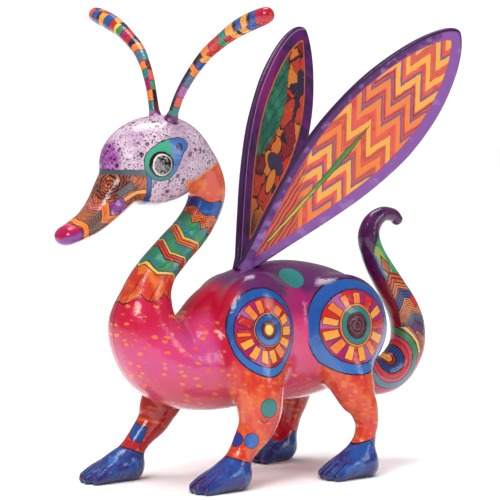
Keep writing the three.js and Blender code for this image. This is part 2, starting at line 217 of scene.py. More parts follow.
def smooth_rows(stations):
    """Rows on a smooth curve through the stations, whose slopes follow their neighbours."""
    steps = 24
    padded = np.vstack([2 * stations[0] - stations[1], stations, 2 * stations[-1] - stations[-2]])
    rows = []
    for i in range(len(stations) - 1):
        p0, p1, p2, p3 = padded[i : i + 4]
        m1, m2 = (p2 - p0) / 2, (p3 - p1) / 2
        for t in np.linspace(0, 1, steps, endpoint=i == len(stations) - 2):
            ends = (2 * t**3 - 3 * t**2 + 1) * p1 + (3 * t**2 - 2 * t**3) * p2
            slopes = (t**3 - 2 * t**2 + t) * m1 + (t**3 - t**2) * m2
            rows.append(ends + slopes)
    return np.array(rows)


class Limb:
    """A round or oval limb along a smooth curve through stations (x, y, z, half-width, half-depth).

    Its half-width is measured along the level direction, and both its ends are domes."""

    def __init__(self, stations, level=(0, 1, 0)):
        rows = smooth_rows(np.array(stations, float))
        run = np.concatenate([[0], np.cumsum(np.linalg.norm(np.diff(rows[:, :3], axis=0), axis=1))])
        count = int(run[-1] / LIMB_STEP) + 1
        self.step = run[-1] / (count - 1)
        even = np.linspace(0, run[-1], count)
        table = np.column_stack([np.interp(even, run, rows[:, i]) for i in range(5)])
        self.centre, self.sizes = table[:, :3], table[:, 3:]
        self.tangent = np.gradient(self.centre, self.step, axis=0)
        self.tangent /= np.linalg.norm(self.tangent, axis=1)[:, None]
        self.bend = np.gradient(self.tangent, self.step, axis=0)
        self.level = np.array(level, float)
        reach = self.sizes.max() + MARGIN
        self.low, self.high = self.centre.min(0) - reach, self.centre.max(0) + reach

    def along(self, points):
        """How far along the limb each point is, and its offsets across, in plane and past the ends."""
        t = self._nearest(points)
        last = len(self.centre) - 1
        for _ in range(4):
            centre, tangent, bend = (self._at(a, t) for a in (self.centre, self.tangent, self.bend))
            q = points - centre
            slope = np.clip(1 - (q * bend).sum(1), *NEWTON_SLOPES)
            t = np.clip(t + (q * tangent).sum(1) / (self.step * slope), 0, last)
        centre, tangent = self._at(self.centre, t), self._at(self.tangent, t)
        tangent /= np.linalg.norm(tangent, axis=1)[:, None]
        across = self.level - tangent * (tangent @ self.level)[:, None]
        across /= np.linalg.norm(across, axis=1)[:, None]
        q = points - centre
        in_plane = (q * np.cross(tangent, across)).sum(1)
        return t * self.step, (q * across).sum(1), in_plane, (q * tangent).sum(1)

    def _nearest(self, points):
        """The row of the table whose round cross-section each point is nearest to."""
        nearest = np.empty(len(points))
        square, size = (self.centre**2).sum(1), self.sizes.mean(1)
        for start in range(0, len(points), CHUNK):
            chunk = points[start : start + CHUNK]
            apart = (chunk**2).sum(1)[:, None] + square - 2 * chunk @ self.centre.T
            nearest[start : start + CHUNK] = np.argmin(np.sqrt(np.maximum(apart, 0)) - size, axis=1)
        return nearest

    def _at(self, table, t):
        i = np.minimum(t.astype(int), len(table) - 2)
        f = (t - i)[:, None]
        return table[i] * (1 - f) + table[i + 1] * f

    def radii(self, run):
        return self._at(self.sizes, run / self.step)

    def __call__(self, points):
        out = np.full(len(points), FAR)
        near = within(points, self.low, self.high)
        if len(near):
            run, a, b, past = self.along(points[near])
            size = self.radii(run)
            end = size.mean(1)
            flat = np.sqrt(a * a + b * b + past * past) + TINY
            shape = np.sqrt((a / size[:, 0]) ** 2 + (b / size[:, 1]) ** 2 + (past / end) ** 2) + TINY
            out[near] = np.minimum(flat * (1 - 1 / shape), FAR)
        return out


class Box:
    """A box in a frame of its own: an origin, three unit axes, and its low and high corners."""

    def __init__(self, origin, axes, low, high):
        self.origin, self.axes = np.array(origin, float), np.array(axes, float)
        self.mid, self.half = (np.array(low) + high) / 2, (np.array(high) - low) / 2

    def __call__(self, points):
        q = np.abs((points - self.origin) @ self.axes.T - self.mid) - self.half
        return np.linalg.norm(np.maximum(q, 0), axis=1) + np.minimum(q.max(axis=1), 0)


class Rod:
    """A cylinder or cone between two distances along an axis."""

    def __init__(self, origin, axis, start, end, radius, end_radius=None):
        self.origin, self.axis = np.array(origin, float), np.array(axis, float)
        self.start, self.end, self.radius = start, end, radius
        self.taper = ((end_radius or radius) - radius) / (end - start)

    def __call__(self, points):
        q = points - self.origin
        run = q @ self.axis
        off = np.linalg.norm(q - run[:, None] * self.axis, axis=1) - self.radius
        off = off - self.taper * np.clip(run - self.start, 0, self.end - self.start)
        return np.maximum(off, np.maximum(self.start - run, run - self.end))


# ---- the carved shapes ----


def antenna_axis(side):
    """The way an antenna's pin points, up out of the skull."""
    return np.array(ANTENNA_AXIS) * (1, side, 1)


def antenna_seat(side):
    """The middle of the flat seat that an antenna stands on."""
    return np.array(ANTENNA_SEAT) * (1, side, 1)


def tenon_box(side, grow=0.0):
    """A wing's tenon, or the slot for it where it is grown by the fitting gap."""
    lean = np.array(TENON["lean"]) / np.linalg.norm(TENON["lean"])
    axes = [(lean[1], 0, -lean[0]), (0, 1, 0), (lean[0], 0, lean[1])]
    half_width, half_thick = TENON["width"] / 2 + grow, TENON["thickness"] / 2 + grow
    low = (-half_width, -half_thick, -TENON["depth"] - 2 * grow)
    high = (half_width, half_thick, TENON["above"] + (SLOT_MOUTH if grow else 0))
    return Box(np.array(TENON["at"]) * (1, side, 1), axes, low, high)


class Leg:
    """A leg: its dome on the body, its shank, and a foot with a heel and four toes."""

    def __init__(self, dome, shank, heel, toes):
        self.dome, self.shank, self.heel = Ellipsoid(*dome), Limb(shank), Ellipsoid(*heel)
        y = shank[-1][1]
        back, tip = toes
        self.toes = []
        for spread, reach in TOE_SPREADS:
            rows = [(back + (tip - back) * reach * t, y + spread * out, *rest) for t, out, *rest in TOE]
            self.toes.append(Limb(rows))

    def __call__(self, points):
        shank = smooth_union(self.shank(points), self.heel(points), FILLETS["heel"])
        toes = np.full(len(points), FAR)
        for toe in self.toes:
            toes = smooth_union(toes, toe(points), FILLETS["toe"])
        foot = smooth_union(shank, toes, FILLETS["toes"])
        return smooth_union(foot, self.dome(points), FILLETS["dome"])


spine, bill, tail = (Limb([(x, 0, *rest) for x, *rest in rows]) for rows in (SPINE, BILL, TAIL))
egg, skull = Ellipsoid(*EGG), Ellipsoid(*SKULL, pitch=SKULL_PITCH)
legs = {name: Leg(**parts) for name, parts in LEGS.items()}
NAPE_RUN, COLLAR_RUN = spine.along(np.array([NAPE, COLLAR], float))[0]
carved_out = []
for side in SIDES:
    seat_axis = antenna_seat(side), antenna_axis(side)
    carved_out.append(tenon_box(side, FIT_GAP))
    carved_out.append(Rod(*seat_axis, 0, 9, SEAT_RADIUS))
    carved_out.append(Rod(*seat_axis, -PIN_HALF - 1, 5, PIN_RADIUS + FIT_GAP))


def chisel(points):
    """Slight unevenness that a knife leaves, in millimetres."""
    x, y, z = points.T
    facets = np.sin(x / 7.1 + np.sin(z / 9.3)) * np.sin(y / 6.3 + 1.1)
    return 0.16 * facets + 0.12 * np.sin(z / 5.7 + x / 13 + y / 8)


def figure_field(points):
    """The whole glued figure, with its slots and holes, cut flat at the floor."""
    value = egg(points)
    for shape, seam in ((spine, "collar"), (skull, "skull"), (bill, "bill"), (tail, "tail")):
        value = smooth_union(value, shape(points), FILLETS[seam])
    for leg in legs.values():
        value = smooth_union(value, leg(points), FILLETS["leg"])
    value = value + chisel(points)
    for hole in carved_out:
        value = np.maximum(value, -hole(points))
    return np.maximum(value, -points[:, 2])


class Antenna:
    """A clubbed feeler on a flared foot, bored for its pin."""

    def __init__(self, side):
        seat, axis = antenna_seat(side), antenna_axis(side)
        base = (*(seat + axis * 1.3), 3.2, 3.2)
        self.limb = Limb([base] + [(x, side * y, *rest) for x, y, *rest in ANTENNA], level=(1, 0, 0))
        self.foot = Rod(seat, axis, FIT_GAP, 4.3, 5, 3.1)
        self.bore = Rod(seat, axis, -1, PIN_HALF + FIT_GAP, PIN_RADIUS + FIT_GAP)
        self.below = Rod(seat, axis, -20, FIT_GAP, 40)  # all that is under the foot
        self.low, self.high = self.limb.low, self.limb.high

    def __call__(self, points):
        value = smooth_union(self.limb(points), self.foot(points), 1.5)
        value = value + chisel(points) * 0.5
        return np.maximum(value, -least_of(self.bore(points), self.below(points)))


def least_of(*values):
    return np.minimum.reduce(values)


def curve(start, bends, end, count=36):
    """Points along a cubic curve, without its last."""
    t = np.linspace(0, 1, count, endpoint=False)[:, None]
    a, b, c, d = (np.array(p, float) for p in (start, *bends, end))
    return (1 - t) ** 3 * a + 3 * t * (1 - t) ** 2 * b + 3 * t**2 * (1 - t) * c + t**3 * d


class Wing:
    """A flat leaf-shaped blade with round edges, and the tenon that plugs it into the back.

    It has axes of its own: along it from the root, across it, and through it."""

    def __init__(self, side):
        self.side = side
        self.root, tip = np.array(WING_ROOT) * (1, side, 1), np.array(WING_TIP) * (1, side, 1)
        span = np.linalg.norm(tip - self.root)
        along = (tip - self.root) / span
        wide = np.array([1, 0, 0]) - along * along[0]
        wide /= np.linalg.norm(wide)
        turn = -side * WING_TWIST
        wide = wide * math.cos(turn) + np.cross(along, wide) * math.sin(turn)
        self.axes = np.array([along, wide, np.cross(along, wide)])
        end = span - 0.7
        sides = (
            curve((0, -5.5), ((40, -16.5), (70, -27.5)), (108, -27.5)),
            curve((108, -27.5), ((152, -27.5), (end, -12)), (end, 1)),
            curve((end, 1), ((end - 3, 10), (160, 30.5)), (116, 31)),
            curve((116, 31), ((78, 31), (40, 16)), (0, 5.5)),
        )
        root = np.array([(-WING_ROOT_DEPTH, 5.5), (-WING_ROOT_DEPTH, -5)])
        self.outline = np.vstack([root, *sides, [(0, 5.5)]])
        self.tenon = tenon_box(side)

    def rim(self, points):
        """Distance from the blade's outline, below 0 inside it."""
        out = np.empty(len(points))
        a, b = self.outline, np.roll(self.outline, -1, axis=0)
        edge = b - a
        rise = np.where(edge[:, 1] == 0, TINY, edge[:, 1])
        for start in range(0, len(points), CHUNK // 2):
            p = points[start : start + CHUNK // 2, None, :2]
            share = np.clip(((p - a) * edge).sum(2) / (edge**2).sum(1), 0, 1)
            apart = np.linalg.norm(p - a - edge * share[:, :, None], axis=2).min(axis=1)
            level = (a[:, 1] > p[:, :, 1]) != (b[:, 1] > p[:, :, 1])
            cut = a[:, 0] + edge[:, 0] * (p[:, :, 1] - a[:, 1]) / rise
            inside = (level & (p[:, :, 0] < cut)).sum(axis=1) % 2 == 1
            out[start : start + CHUNK // 2] = np.where(inside, -apart, apart)
        return out

    def blade(self, points):
        edge = WING_THICKNESS / 2 - WING_FLAT
        rim, off = self.rim(points) + edge, np.abs(points[:, 2]) - WING_FLAT
        round_edge = np.hypot(np.maximum(rim, 0), np.maximum(off, 0))
        round_edge += np.minimum(np.maximum(rim, off), 0)
        return round_edge - edge + chisel(points + 7) * 0.5

    def __call__(self, points):
        """The field, for points along the wing's own axes."""
        placed = self.root + points @ self.axes
        blade = np.maximum(self.blade(points), WING_GAP - least_of(egg(placed), spine(placed)))
        blade = np.maximum(blade, FIT_GAP - self.side * placed[:, 1])
        return smooth_union(blade, self.tenon(placed), FILLETS["tenon"])


FIGURE_PIECES = ["torso", "neck", "head", "tail", *LEGS]


def owner(points):
    """The number of the piece in FIGURE_PIECES that each point of the figure's surface belongs to."""
    on_spine = spine(points)
    run = spine.along(points)[0]
    torso = np.minimum(egg(points), np.where(run > COLLAR_RUN, on_spine, FAR))
    neck = np.where((run > NAPE_RUN) & (run <= COLLAR_RUN), on_spine, FAR)
    head = np.minimum(skull(points), bill(points))
    head = np.minimum(head, np.where(run <= NAPE_RUN, on_spine, FAR))
    return np.argmin([torso, neck, head, tail(points), *(leg(points) for leg in legs.values())], axis=0)


# ---- meshing ----


def slope_and_value(field, points):
    """The field's gradient and value, from four samples round each point."""
    reach = 0.3
    corners = np.array([(1, -1, -1), (-1, -1, 1), (-1, 1, -1), (1, 1, 1)])
    samples = np.array([field(points + corner * reach) for corner in corners])
    return (samples.T @ corners) / (4 * reach), samples.mean(axis=0)


def settle(field, points):
    """Moves points towards the field's zero level."""
    slope, value = slope_and_value(field, points)
    step = np.clip(value / np.maximum((slope**2).sum(1), 0.1), -0.8, 0.8)
    return points - slope * step[:, None]


def facing(field, points):
    """The way the field's surface faces at each point."""
    slope = slope_and_value(field, points)[0]
    return slope / (np.linalg.norm(slope, axis=1)[:, None] + TINY)


def sampled(field, low, high, pitch):
    """Which corners of a grid are inside: sampled in blocks first, and finely near the surface."""
    block = 5  # cells along each side
    blocks = np.ceil((np.array(high) - low) / (pitch * block)).astype(int)
    where = np.argwhere(np.ones(blocks, bool))
    value = field(low + (where + 0.5) * pitch * block)
    inside = np.zeros(blocks * block + 1, bool)
    inside[:-1, :-1, :-1] = np.kron(value.reshape(blocks) < 0, np.ones([block] * 3, bool))
    fine = np.zeros(inside.shape, bool)
    for i, j, k in where[np.abs(value) < pitch * block * 1.1] * block:
        fine[i : i + block + 1, j : j + block + 1, k : k + block + 1] = True
    inside[fine] = field(low + np.argwhere(fine) * pitch) < 0
    return inside


def surface(field, low, high, pitch):
    """The field's zero level as points and quads: one point in each grid cell that it crosses."""
    low = np.array(low, float)
    inside = sampled(field, low, high, pitch)
    count = np.zeros([n - 1 for n in inside.shape], np.int8)
    for i, j, k in itertools.product((0, 1), repeat=3):
        count += inside[i : i + count.shape[0], j : j + count.shape[1], k : k + count.shape[2]]
    mixed = (count > 0) & (count < 8)
    number = np.full(mixed.shape, -1)
    number[mixed] = np.arange(mixed.sum())
    points = low + (np.argwhere(mixed) + 0.5) * pitch
    quads = []
    for axis in range(3):
        one, two = np.eye(3, dtype=int)[(axis + 1) % 3], np.eye(3, dtype=int)[(axis + 2) % 3]
        before = np.take(inside, range(inside.shape[axis] - 1), axis)
        after = np.take(inside, range(1, inside.shape[axis]), axis)
        edges = np.argwhere(before != after)
        quad = np.column_stack([number[tuple((edges - o).T)] for o in (0 * one, one, one + two, two)])
        flip = after[tuple(edges.T)]
        quad[flip] = quad[flip][:, ::-1]
        quads.append(quad)
    quads = np.vstack(quads)
    points = settle(field, settle(field, points))
    return relaxed(field, points, quads), quads


def relaxed(field, points, quads):
    """Evens out the quads: each point moves towards the mean of its neighbours."""
    count = len(points)
    a, b = np.vstack([quads[:, [i, (i + 1) % 4]] for i in range(4)]).T
    links = np.bincount(np.concatenate([a, b]), minlength=count)[:, None]
    for _ in range(2):
        sums = [np.bincount(a, column[b], count) + np.bincount(b, column[a], count) for column in points.T]
        points = settle(field, points * 0.3 + np.column_stack(sums) / links * 0.7)
    return points


def add(name, data):
    """A new object in the scene."""
    made = bpy.data.objects.new(name, data)
    bpy.context.scene.collection.objects.link(made)
    return made


def make_piece(name, points, quads, normals, fields, material, body, slot, *nodes):
    """A mesh object from points in the design frame, which rides on a body and stands for CAD nodes."""
    mesh = bpy.data.meshes.new(name)
    mesh.vertices.add(len(points))
    inside = np.clip((points + CENTRE_SHIFT) * 0.001, *cad_box)
    mesh.vertices.foreach_set("co", inside.astype(np.float32).ravel())
    mesh.loops.add(quads.size)
    mesh.loops.foreach_set("vertex_index", quads.astype(np.int32).ravel())
    mesh.polygons.add(len(quads))
    mesh.polygons.foreach_set("loop_start", np.arange(0, quads.size, 4, dtype=np.int32))
    mesh.update(calc_edges=True)
    for key, values in fields.items():
        mesh.attributes.new(key, "FLOAT", "POINT").data.foreach_set("value", values.astype(np.float32))
    mesh.polygons.foreach_set("use_smooth", [True] * len(quads))
    mesh.normals_split_custom_set_from_vertices(normals.astype(np.float32))
    piece = add(name, mesh)
    mesh.materials.append(material)
    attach(piece, body)
    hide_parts(*nodes)


def limb_fields(limb, points):
    """Where points are on a limb: how far along, and round it as a direction."""
    run, across, in_plane, past = limb.along(points)
    size = limb.radii(run)
    angle = np.arctan2(in_plane / size[:, 1], across / size[:, 0])
    return {"run": run + past, "turn_x": np.cos(angle), "turn_y": np.sin(angle)}


def part(quads, chosen):
    """A subset of the quads, numbered anew, and which points they use."""
    used, renumbered = np.unique(quads[chosen], return_inverse=True)
    return used, renumbered.reshape(-1, 4)


# ---- paint: numbers and colours worked out at each point by shader nodes ----


PAINT_DEPTH = 0.72  # how much of its brightness a paint keeps
WANDER = 0.25  # how far a brush strays, in millimetres


class Num:
    """A number at each point of a surface: the output of a node in the tree under construction."""

    tree = None  # the material's nodes
    raw = None  # where each point is, in millimetres

    def __init__(self, socket):
        self.socket = socket

    def __add__(self, other):
        return calc("ADD", self, other)

    __radd__ = __add__

    def __sub__(self, other):
        return calc("SUBTRACT", self, other)

    def __rsub__(self, other):
        return calc("SUBTRACT", other, self)

    def __mul__(self, other):
        return calc("MULTIPLY", self, other)

    __rmul__ = __mul__

    def __truediv__(self, other):
        return calc("DIVIDE", self, other)

    def __neg__(self):
        return calc("MULTIPLY", self, -1)

    def __abs__(self):
        return calc("ABSOLUTE", self)


def put(socket, value):
    """Link a node's input to a number or colour that varies, or set it to a constant."""
    if isinstance(value, Num):
        Num.tree.links.new(value.socket, socket)
    elif isinstance(value, tuple) and len(value) == 3 and socket.type == "RGBA":
        socket.default_value = (*value, 1)
    else:
        socket.default_value = value


def node(kind, inputs, **settings):
    """A new shader node, with its inputs given by name or in order."""
    made = Num.tree.nodes.new("ShaderNode" + kind)
    for key, value in settings.items():
        setattr(made, key, value)
    for key, value in inputs.items() if isinstance(inputs, dict) else enumerate(inputs):
        put(made.inputs[key], value)
    return made


def calc(operation, *values, clamp=False):
    return Num(node("Math", values, operation=operation, use_clamp=clamp).outputs[0])


def least(first, *others):
    for other in others:
        first = calc("MINIMUM", first, other)
    return first


def most(first, *others):
    for other in others:
        first = calc("MAXIMUM", first, other)
    return first


def hypot(a, b):
    return calc("SQRT", calc("MULTIPLY_ADD", a, a, b * b))


def band(value, low, high):
    """Below 0 between low and high, above 0 outside."""
    return abs(value - (low + high) / 2) - (high - low) / 2


def disc(x, y, cx, cy, radius):
    return hypot(x - cx, y - cy) - radius


def oval(x, y, cx, cy, rx, ry):
    return (hypot((x - cx) / rx, (y - cy) / ry) - 1) * min(rx, ry)


def ball(place, centre, radius):
    x, y, z = (a - c for a, c in zip(place, centre))
    return calc("SQRT", calc("MULTIPLY_ADD", z, z, calc("MULTIPLY_ADD", y, y, x * x))) - radius


def repeat(value, period):
    """How far the value is from the nearest multiple of the period."""
    return calc("WRAP", value, period / 2, -period / 2)


def zigzag(value, period, height):
    """A triangle wave between 0 and height."""
    return calc("PINGPONG", value, period / 2) * (2 * height / period)


def cover(distance, soft=0.12):
    """1 where the distance is below 0, 0 where it is above, with an edge as soft as a brush leaves."""
    return calc("MULTIPLY_ADD", distance, -0.5 / soft, 0.5, clamp=True)


def ramp(value, start, end):
    """Rises smoothly from 0 at start to 1 at end."""
    return Num(node("MapRange", (value, start, end), interpolation_type="SMOOTHSTEP").outputs[0])


def chance(index, salt=0.0):
    """A number from 0 to 1 that looks random, the same for each whole index."""
    return calc("FRACT", calc("SINE", index * 12.99 + salt) * 437.58)


def mix(a, b, share):
    """Paint b over paint a, as thickly as the share says."""
    made = node("Mix", {}, data_type="RGBA")
    for name, value in (("Factor", share), ("A", a), ("B", b)):
        put(made.inputs[name], value)
    return Num(made.outputs["Result"])


def attribute(name):
    return Num(node("Attribute", {}, attribute_name=name).outputs["Fac"])


def vector(x, y, z=0.0):
    return Num(node("CombineXYZ", (x, y, z)).outputs[0])


def noise(size, detail=2.0, seed=0.0, where=None):
    """Cloudy values about 0.5, in lumps of the given size."""
    inputs = {"Vector": where or Num.raw, "W": seed, "Scale": 1 / size, "Detail": detail}
    return Num(node("TexNoise", inputs, noise_dimensions="4D").outputs["Fac"])


def clouds(a, b, size, detail, seed, start, end, share=1):
    """Paint b laid over paint a where a cloud is dense, from start to end."""
    cloud = ramp(noise(size, detail, seed), start, end)
    return mix(a, b, cloud if share == 1 else cloud * share)


def spots(size, where=None, flat=False):
    """Distance from the nearest of points scattered about a size apart, and that point's chance."""
    inputs = {"Vector": where or Num.raw, "Scale": 1 / size}
    cells = node("TexVoronoi", inputs, voronoi_dimensions="2D" if flat else "3D").outputs
    pick = node("SeparateColor", [Num(cells["Color"])])
    return Num(cells["Distance"]) * size, Num(pick.outputs[0])


def place():
    """Where a point is in the design frame, as a wandering brush sees it. It sets Num.raw too."""
    spot = Num(node("TexCoord", {}).outputs["Object"])
    scale = node("VectorMath", {0: spot, "Scale": 1000}, operation="SCALE")
    Num.raw = Num(scale.outputs[0])
    cloud = node("TexNoise", {"Vector": Num.raw, "Scale": 0.22, "Detail": 2.0})
    strayed = Num(cloud.outputs["Color"]), [4 * WANDER] * 3, Num.raw
    shift = node("VectorMath", strayed, operation="MULTIPLY_ADD")
    split = node("SeparateXYZ", [Num(shift.outputs[0])])
    back = 2 * WANDER
    x, y, z = (Num(s) for s in split.outputs)
    return x - CENTRE_SHIFT[0] - back, y - back, z - back


def srgb(red, green, blue):
    """The linear colour of a paint that looks like this in the studio, each part from 0 to 255.

    The studio is bright enough to wash a pale floor out, so a paint is darker than it looks."""
    parts = (c / 255 for c in (red, green, blue))
    linear = (c / 12.92 if c < 0.04045 else ((c + 0.055) / 1.055) ** 2.4 for c in parts)
    return tuple(c * PAINT_DEPTH for c in linear)


def lay(color, distance, paint, soft=0.12):
    return mix(color, paint, cover(distance, soft))


def outlined(color, distance, paint, line=0.35, ink=None):
    """A painted shape with a thin dark line round it."""
    return lay(lay(color, distance - line, ink or INK), distance, paint)


# ---- palette ----

INK = srgb(38, 18, 34)
PINK = srgb(222, 62, 120)
CORAL = srgb(226, 84, 66)
ORANGE = srgb(240, 128, 52)
AMBER = srgb(246, 166, 66)
YELLOW = srgb(238, 204, 92)
RED = srgb(205, 36, 38)
CRIMSON = srgb(190, 12, 52)
MAROON = srgb(96, 34, 44)
MAGENTA = srgb(168, 22, 104)
PURPLE = srgb(94, 30, 92)
MAUVE = srgb(176, 92, 158)
BLUE = srgb(30, 82, 160)
SKY = srgb(84, 132, 198)
INDIGO = srgb(48, 50, 128)
TEAL = srgb(44, 128, 126)
GREEN = srgb(62, 140, 88)
NAVY = srgb(24, 26, 72)
SLATE = srgb(84, 108, 140)


def material(name, painting, gloss=0.22, relief=0.08, coat=0.5):
    """Lacquered paint on carved wood, whose colour the painting function works out."""
    made = bpy.data.materials.new(name)
    made.use_nodes = True
    Num.tree = made.node_tree
    shader = Num.tree.nodes["Principled BSDF"]
    put(shader.inputs["Base Color"], painting(place()))
    cloud = noise(6, 3, 7.0)
    put(shader.inputs["Roughness"], gloss + (cloud - 0.5) * 0.3)
    shader.inputs["Specular IOR Level"].default_value = 0.25
    shader.inputs["Coat Weight"].default_value = coat
    shader.inputs["Coat Roughness"].default_value = 0.09
    height = noise(3.2, 3, 3.0) + noise(14, 1, 5.0) * 2.5
    bump = node("Bump", {"Height": height, "Distance": relief * 0.004, "Strength": 1})
    put(shader.inputs["Normal"], Num(bump.outputs[0]))
    put(shader.inputs["Coat Normal"], Num(bump.outputs[0]))
    return made


def strokes(color, dark, light, size=5.0, seed=1.0, share=0.5):
    """Uneven coverage: a paint that goes darker and lighter in soft patches."""
    cloud = noise(size, 4, seed)
    color = mix(color, dark, ramp(cloud, 0.45, 0.2) * share)
    return mix(color, light, ramp(cloud, 0.55, 0.8) * share)


def sorted_by(color, pick, *steps):
    """A paint chosen by chance: each step's paint is used where the pick is above its start."""
    for start, paint in steps:
        color = mix(color, paint, calc("GREATER_THAN", pick, start))
    return color


def rays(color, r, turn, inner, outer, count, width, salt):
    """The spokes of a medallion, with wedges of other colours between them."""
    gap = repeat(turn, 2 * math.pi / count)
    index = calc("ROUND", turn * (count / (2 * math.pi)))
    between = calc("FLOOR", turn * (count / (2 * math.pi)))
    wedge_pick = chance(between, salt + 2)
    color = sorted_by(color, wedge_pick, (0.45, MAGENTA), (0.75, MAUVE))
    reach = band(r, inner, outer - 1.2 * chance(index, salt))
    wedge = width * (0.36 + 0.3 * chance(index, salt + 1)) + r * 0.06
    spoke = most(abs(gap) * r - wedge, reach)
    paint = sorted_by(ORANGE, chance(index, salt + 3), (0.4, AMBER), (0.85, RED))
    paint = strokes(paint, srgb(220, 84, 40), YELLOW, 3, salt, 0.5)
    return outlined(color, spoke, paint, 0.4)


def medallion(color, x, z, cx, cz, radius, ring, stretches, behind, count, salt):
    """A painted wheel: a blue ring, then a red disc a little behind its middle, with orange rays."""
    ring_stretch, disc_stretch = stretches
    v = z - cz
    ring_r = hypot((x - cx) / ring_stretch, v)
    # painted highlight: the blue ring goes lighter towards its bottom
    blue = mix(BLUE, srgb(58, 112, 186), ramp(v, 4, -radius))
    blue = strokes(blue, srgb(20, 40, 112), srgb(70, 120, 190), 6, salt, 0.6)
    color = lay(color, ring_r - (radius + ring + 0.9), INK)
    color = lay(color, ring_r - (radius + ring), blue)
    u = (x - cx - behind) / disc_stretch
    r, turn = hypot(u, v), calc("ARCTAN2", v, u)
    disc_paint = mix(CRIMSON, RED, ramp(u + noise(8, 2, salt) * 12, 14, -4))
    disc_paint = rays(disc_paint, r, turn, radius * 0.53, radius - 1.6, count, 2.5, salt)
    color = lay(color, r - radius, INK)
    return lay(color, r - (radius - 0.7), disc_paint)


def rounds(color, r, *discs):
    """Discs of paint, each inside the one before."""
    for radius, paint in discs:
        color = lay(color, r - radius, paint)
    return color


def front_hub(color, x, z, cx, cz):
    """A blue ring round a yellow middle."""
    r = hypot((x - cx) / 0.93, z - cz)
    # painted highlight: the blue ring goes lighter towards its bottom, like the outer ring
    blue = mix(BLUE, SKY, ramp(z - cz, 2, -8))
    outer = (11.2, MAROON), (10.4, ORANGE), (9.9, INK), (9.3, blue)
    color = rounds(color, r, *outer, (5.9, INK), (5.5, MAROON), (3.6, ORANGE))
    return outlined(color, r - 3.0, YELLOW)


def rear_hub(color, x, z, cx, cz):
    """A green ring round a brown middle with fine grey rings."""
    r = hypot(x - cx, (z - cz) * 0.92)
    green = strokes(TEAL, srgb(20, 70, 80), GREEN, 3, 13.0, 0.8)
    brown = clouds(MAROON, srgb(70, 24, 40), 3, 2, 12.0, 0.45, 0.6)
    discs = (12.6, MAROON), (12.2, ORANGE), (11.2, INK), (10.8, green), (7.8, INK), (7.4, brown)
    color = rounds(color, r, *discs)
    return lay(color, abs(repeat(r, 2.4)) - 0.16 + ramp(r, 6.4, 7) * 9, srgb(110, 110, 120), 0.15)


def ground(where, side):
    """Pink and crimson below, magenta and purple over the back; painted shade in front of the shoulders."""
    x, _, z = where
    color = mix(PINK, srgb(208, 70, 136), ramp(noise(18, 2, 2.0), 0.4, 0.65) * ramp(x, -26, -44))
    # painted shade: darker crimson in the crease between the chest and each shoulder dome
    color = mix(color, srgb(196, 12, 56), ramp(abs(x + 36) - 5, 6, -3) * ramp(side, 14, 24))
    color = mix(color, srgb(214, 74, 100), ramp(z, 80, 58))
    color = mix(color, srgb(206, 20, 66), ramp(z - x * 0.25, 105, 127))
    color = mix(color, CRIMSON, ramp(x, -66, -54) * ramp(z, 100, 112))
    high = z + noise(12, 2, 4.0) * 8 + least(side * 0.12, 3)
    color = mix(color, MAGENTA, ramp(high, 104, 116) * ramp(x, -10, 8))
    color = mix(color, PURPLE, ramp(high, 118, 127) * ramp(x, -34, -20))
    return mix(color, MAGENTA, ramp(ball(where, (13, -30, 116), 6), 5, -2))


def wheels(color, x, y, z):
    """The medallions on a side: the front one is higher and further forward on the left."""
    on_left = calc("LESS_THAN", y, 0)
    front_x, front_z = -1 - 13.2 * on_left, 92.5 + 3 * on_left
    front = medallion(color, x, z, front_x, front_z, 21.4, 4.8, (0.82, 0.915), 0.7, 14, 1.0)
    front = front_hub(front, x, z, front_x + 2.1, front_z + 1.4)
    rear = medallion(color, x, z, 51, 94.6, 23.4, 5.6, (1.093, 1.08), 1.4, 13, 5.0)
    rear = rear_hub(rear, x, z, 52.6, 95.6)
    return mix(front, rear, cover(20 - x, 1))


def leg_ground(where, side, wide):
    """Red and orange streaks and dabs, with painted shade on the inner side."""
    x, y, z = where
    streaks = noise(5.5, 3, 3.0, vector(x, y, z * 0.4))
    leg = mix(srgb(216, 52, 42), srgb(228, 96, 50), ramp(streaks, 0.4, 0.64))
    leg = strokes(leg, srgb(170, 26, 40), srgb(236, 120, 56), 10, 3.5, 0.7)
    # painted shade: darker crimson on the inner side of each leg, towards the middle of the figure
    leg = mix(leg, srgb(176, 24, 42), ramp(side, 34, 25) * 0.8)
    cells, pick = spots(4.8, wide, flat=True)
    dabs = cover(cells + noise(2, 2, 6.5) * 2.4 - 1.5 - pick, 0.5) * 0.6
    return mix(leg, ORANGE, dabs)


def body_painting(where):
    x, y, z = where
    side = abs(y)
    color = ground(where, side)
    # dabs over the chest and belly
    wide = vector((x + side) * 0.5, z * 1.15 + x * 0.2)
    cells, pick = spots(5.8, wide, flat=True)
    dab = cells + noise(2, 2, 6.0) * 2.4 - 1.6 - pick * 0.8
    keep = ramp(z + (x + 50) * 0.6, 113, 105) * ramp(x, 40, 30)
    dab_paint = sorted_by(srgb(232, 92, 60), pick, (0.6, srgb(240, 122, 60)))
    color = mix(color, dab_paint, cover(dab, 0.3) * keep)
    legness = ramp(attribute("off_leg"), 4.5, 1.8) * ramp(z, 82, 70)
    color = mix(color, leg_ground(where, side, wide), legness)
    color = mix(color, wheels(color, x, y, z), ramp(side, 6, 9))
    color = outlined(color, ball(where, (17.2, -20.7, 125.3), 8.4), TEAL)
    color = mix(color, INK, cover(abs(y + 0.3) - 0.35) * ramp(x, -70, -80) * ramp(z, 62, 74))
    collared = collar(color, *round_limb())
    return mix(color, collared, ramp(z, 104, 106) * ramp(x, -58, -60))


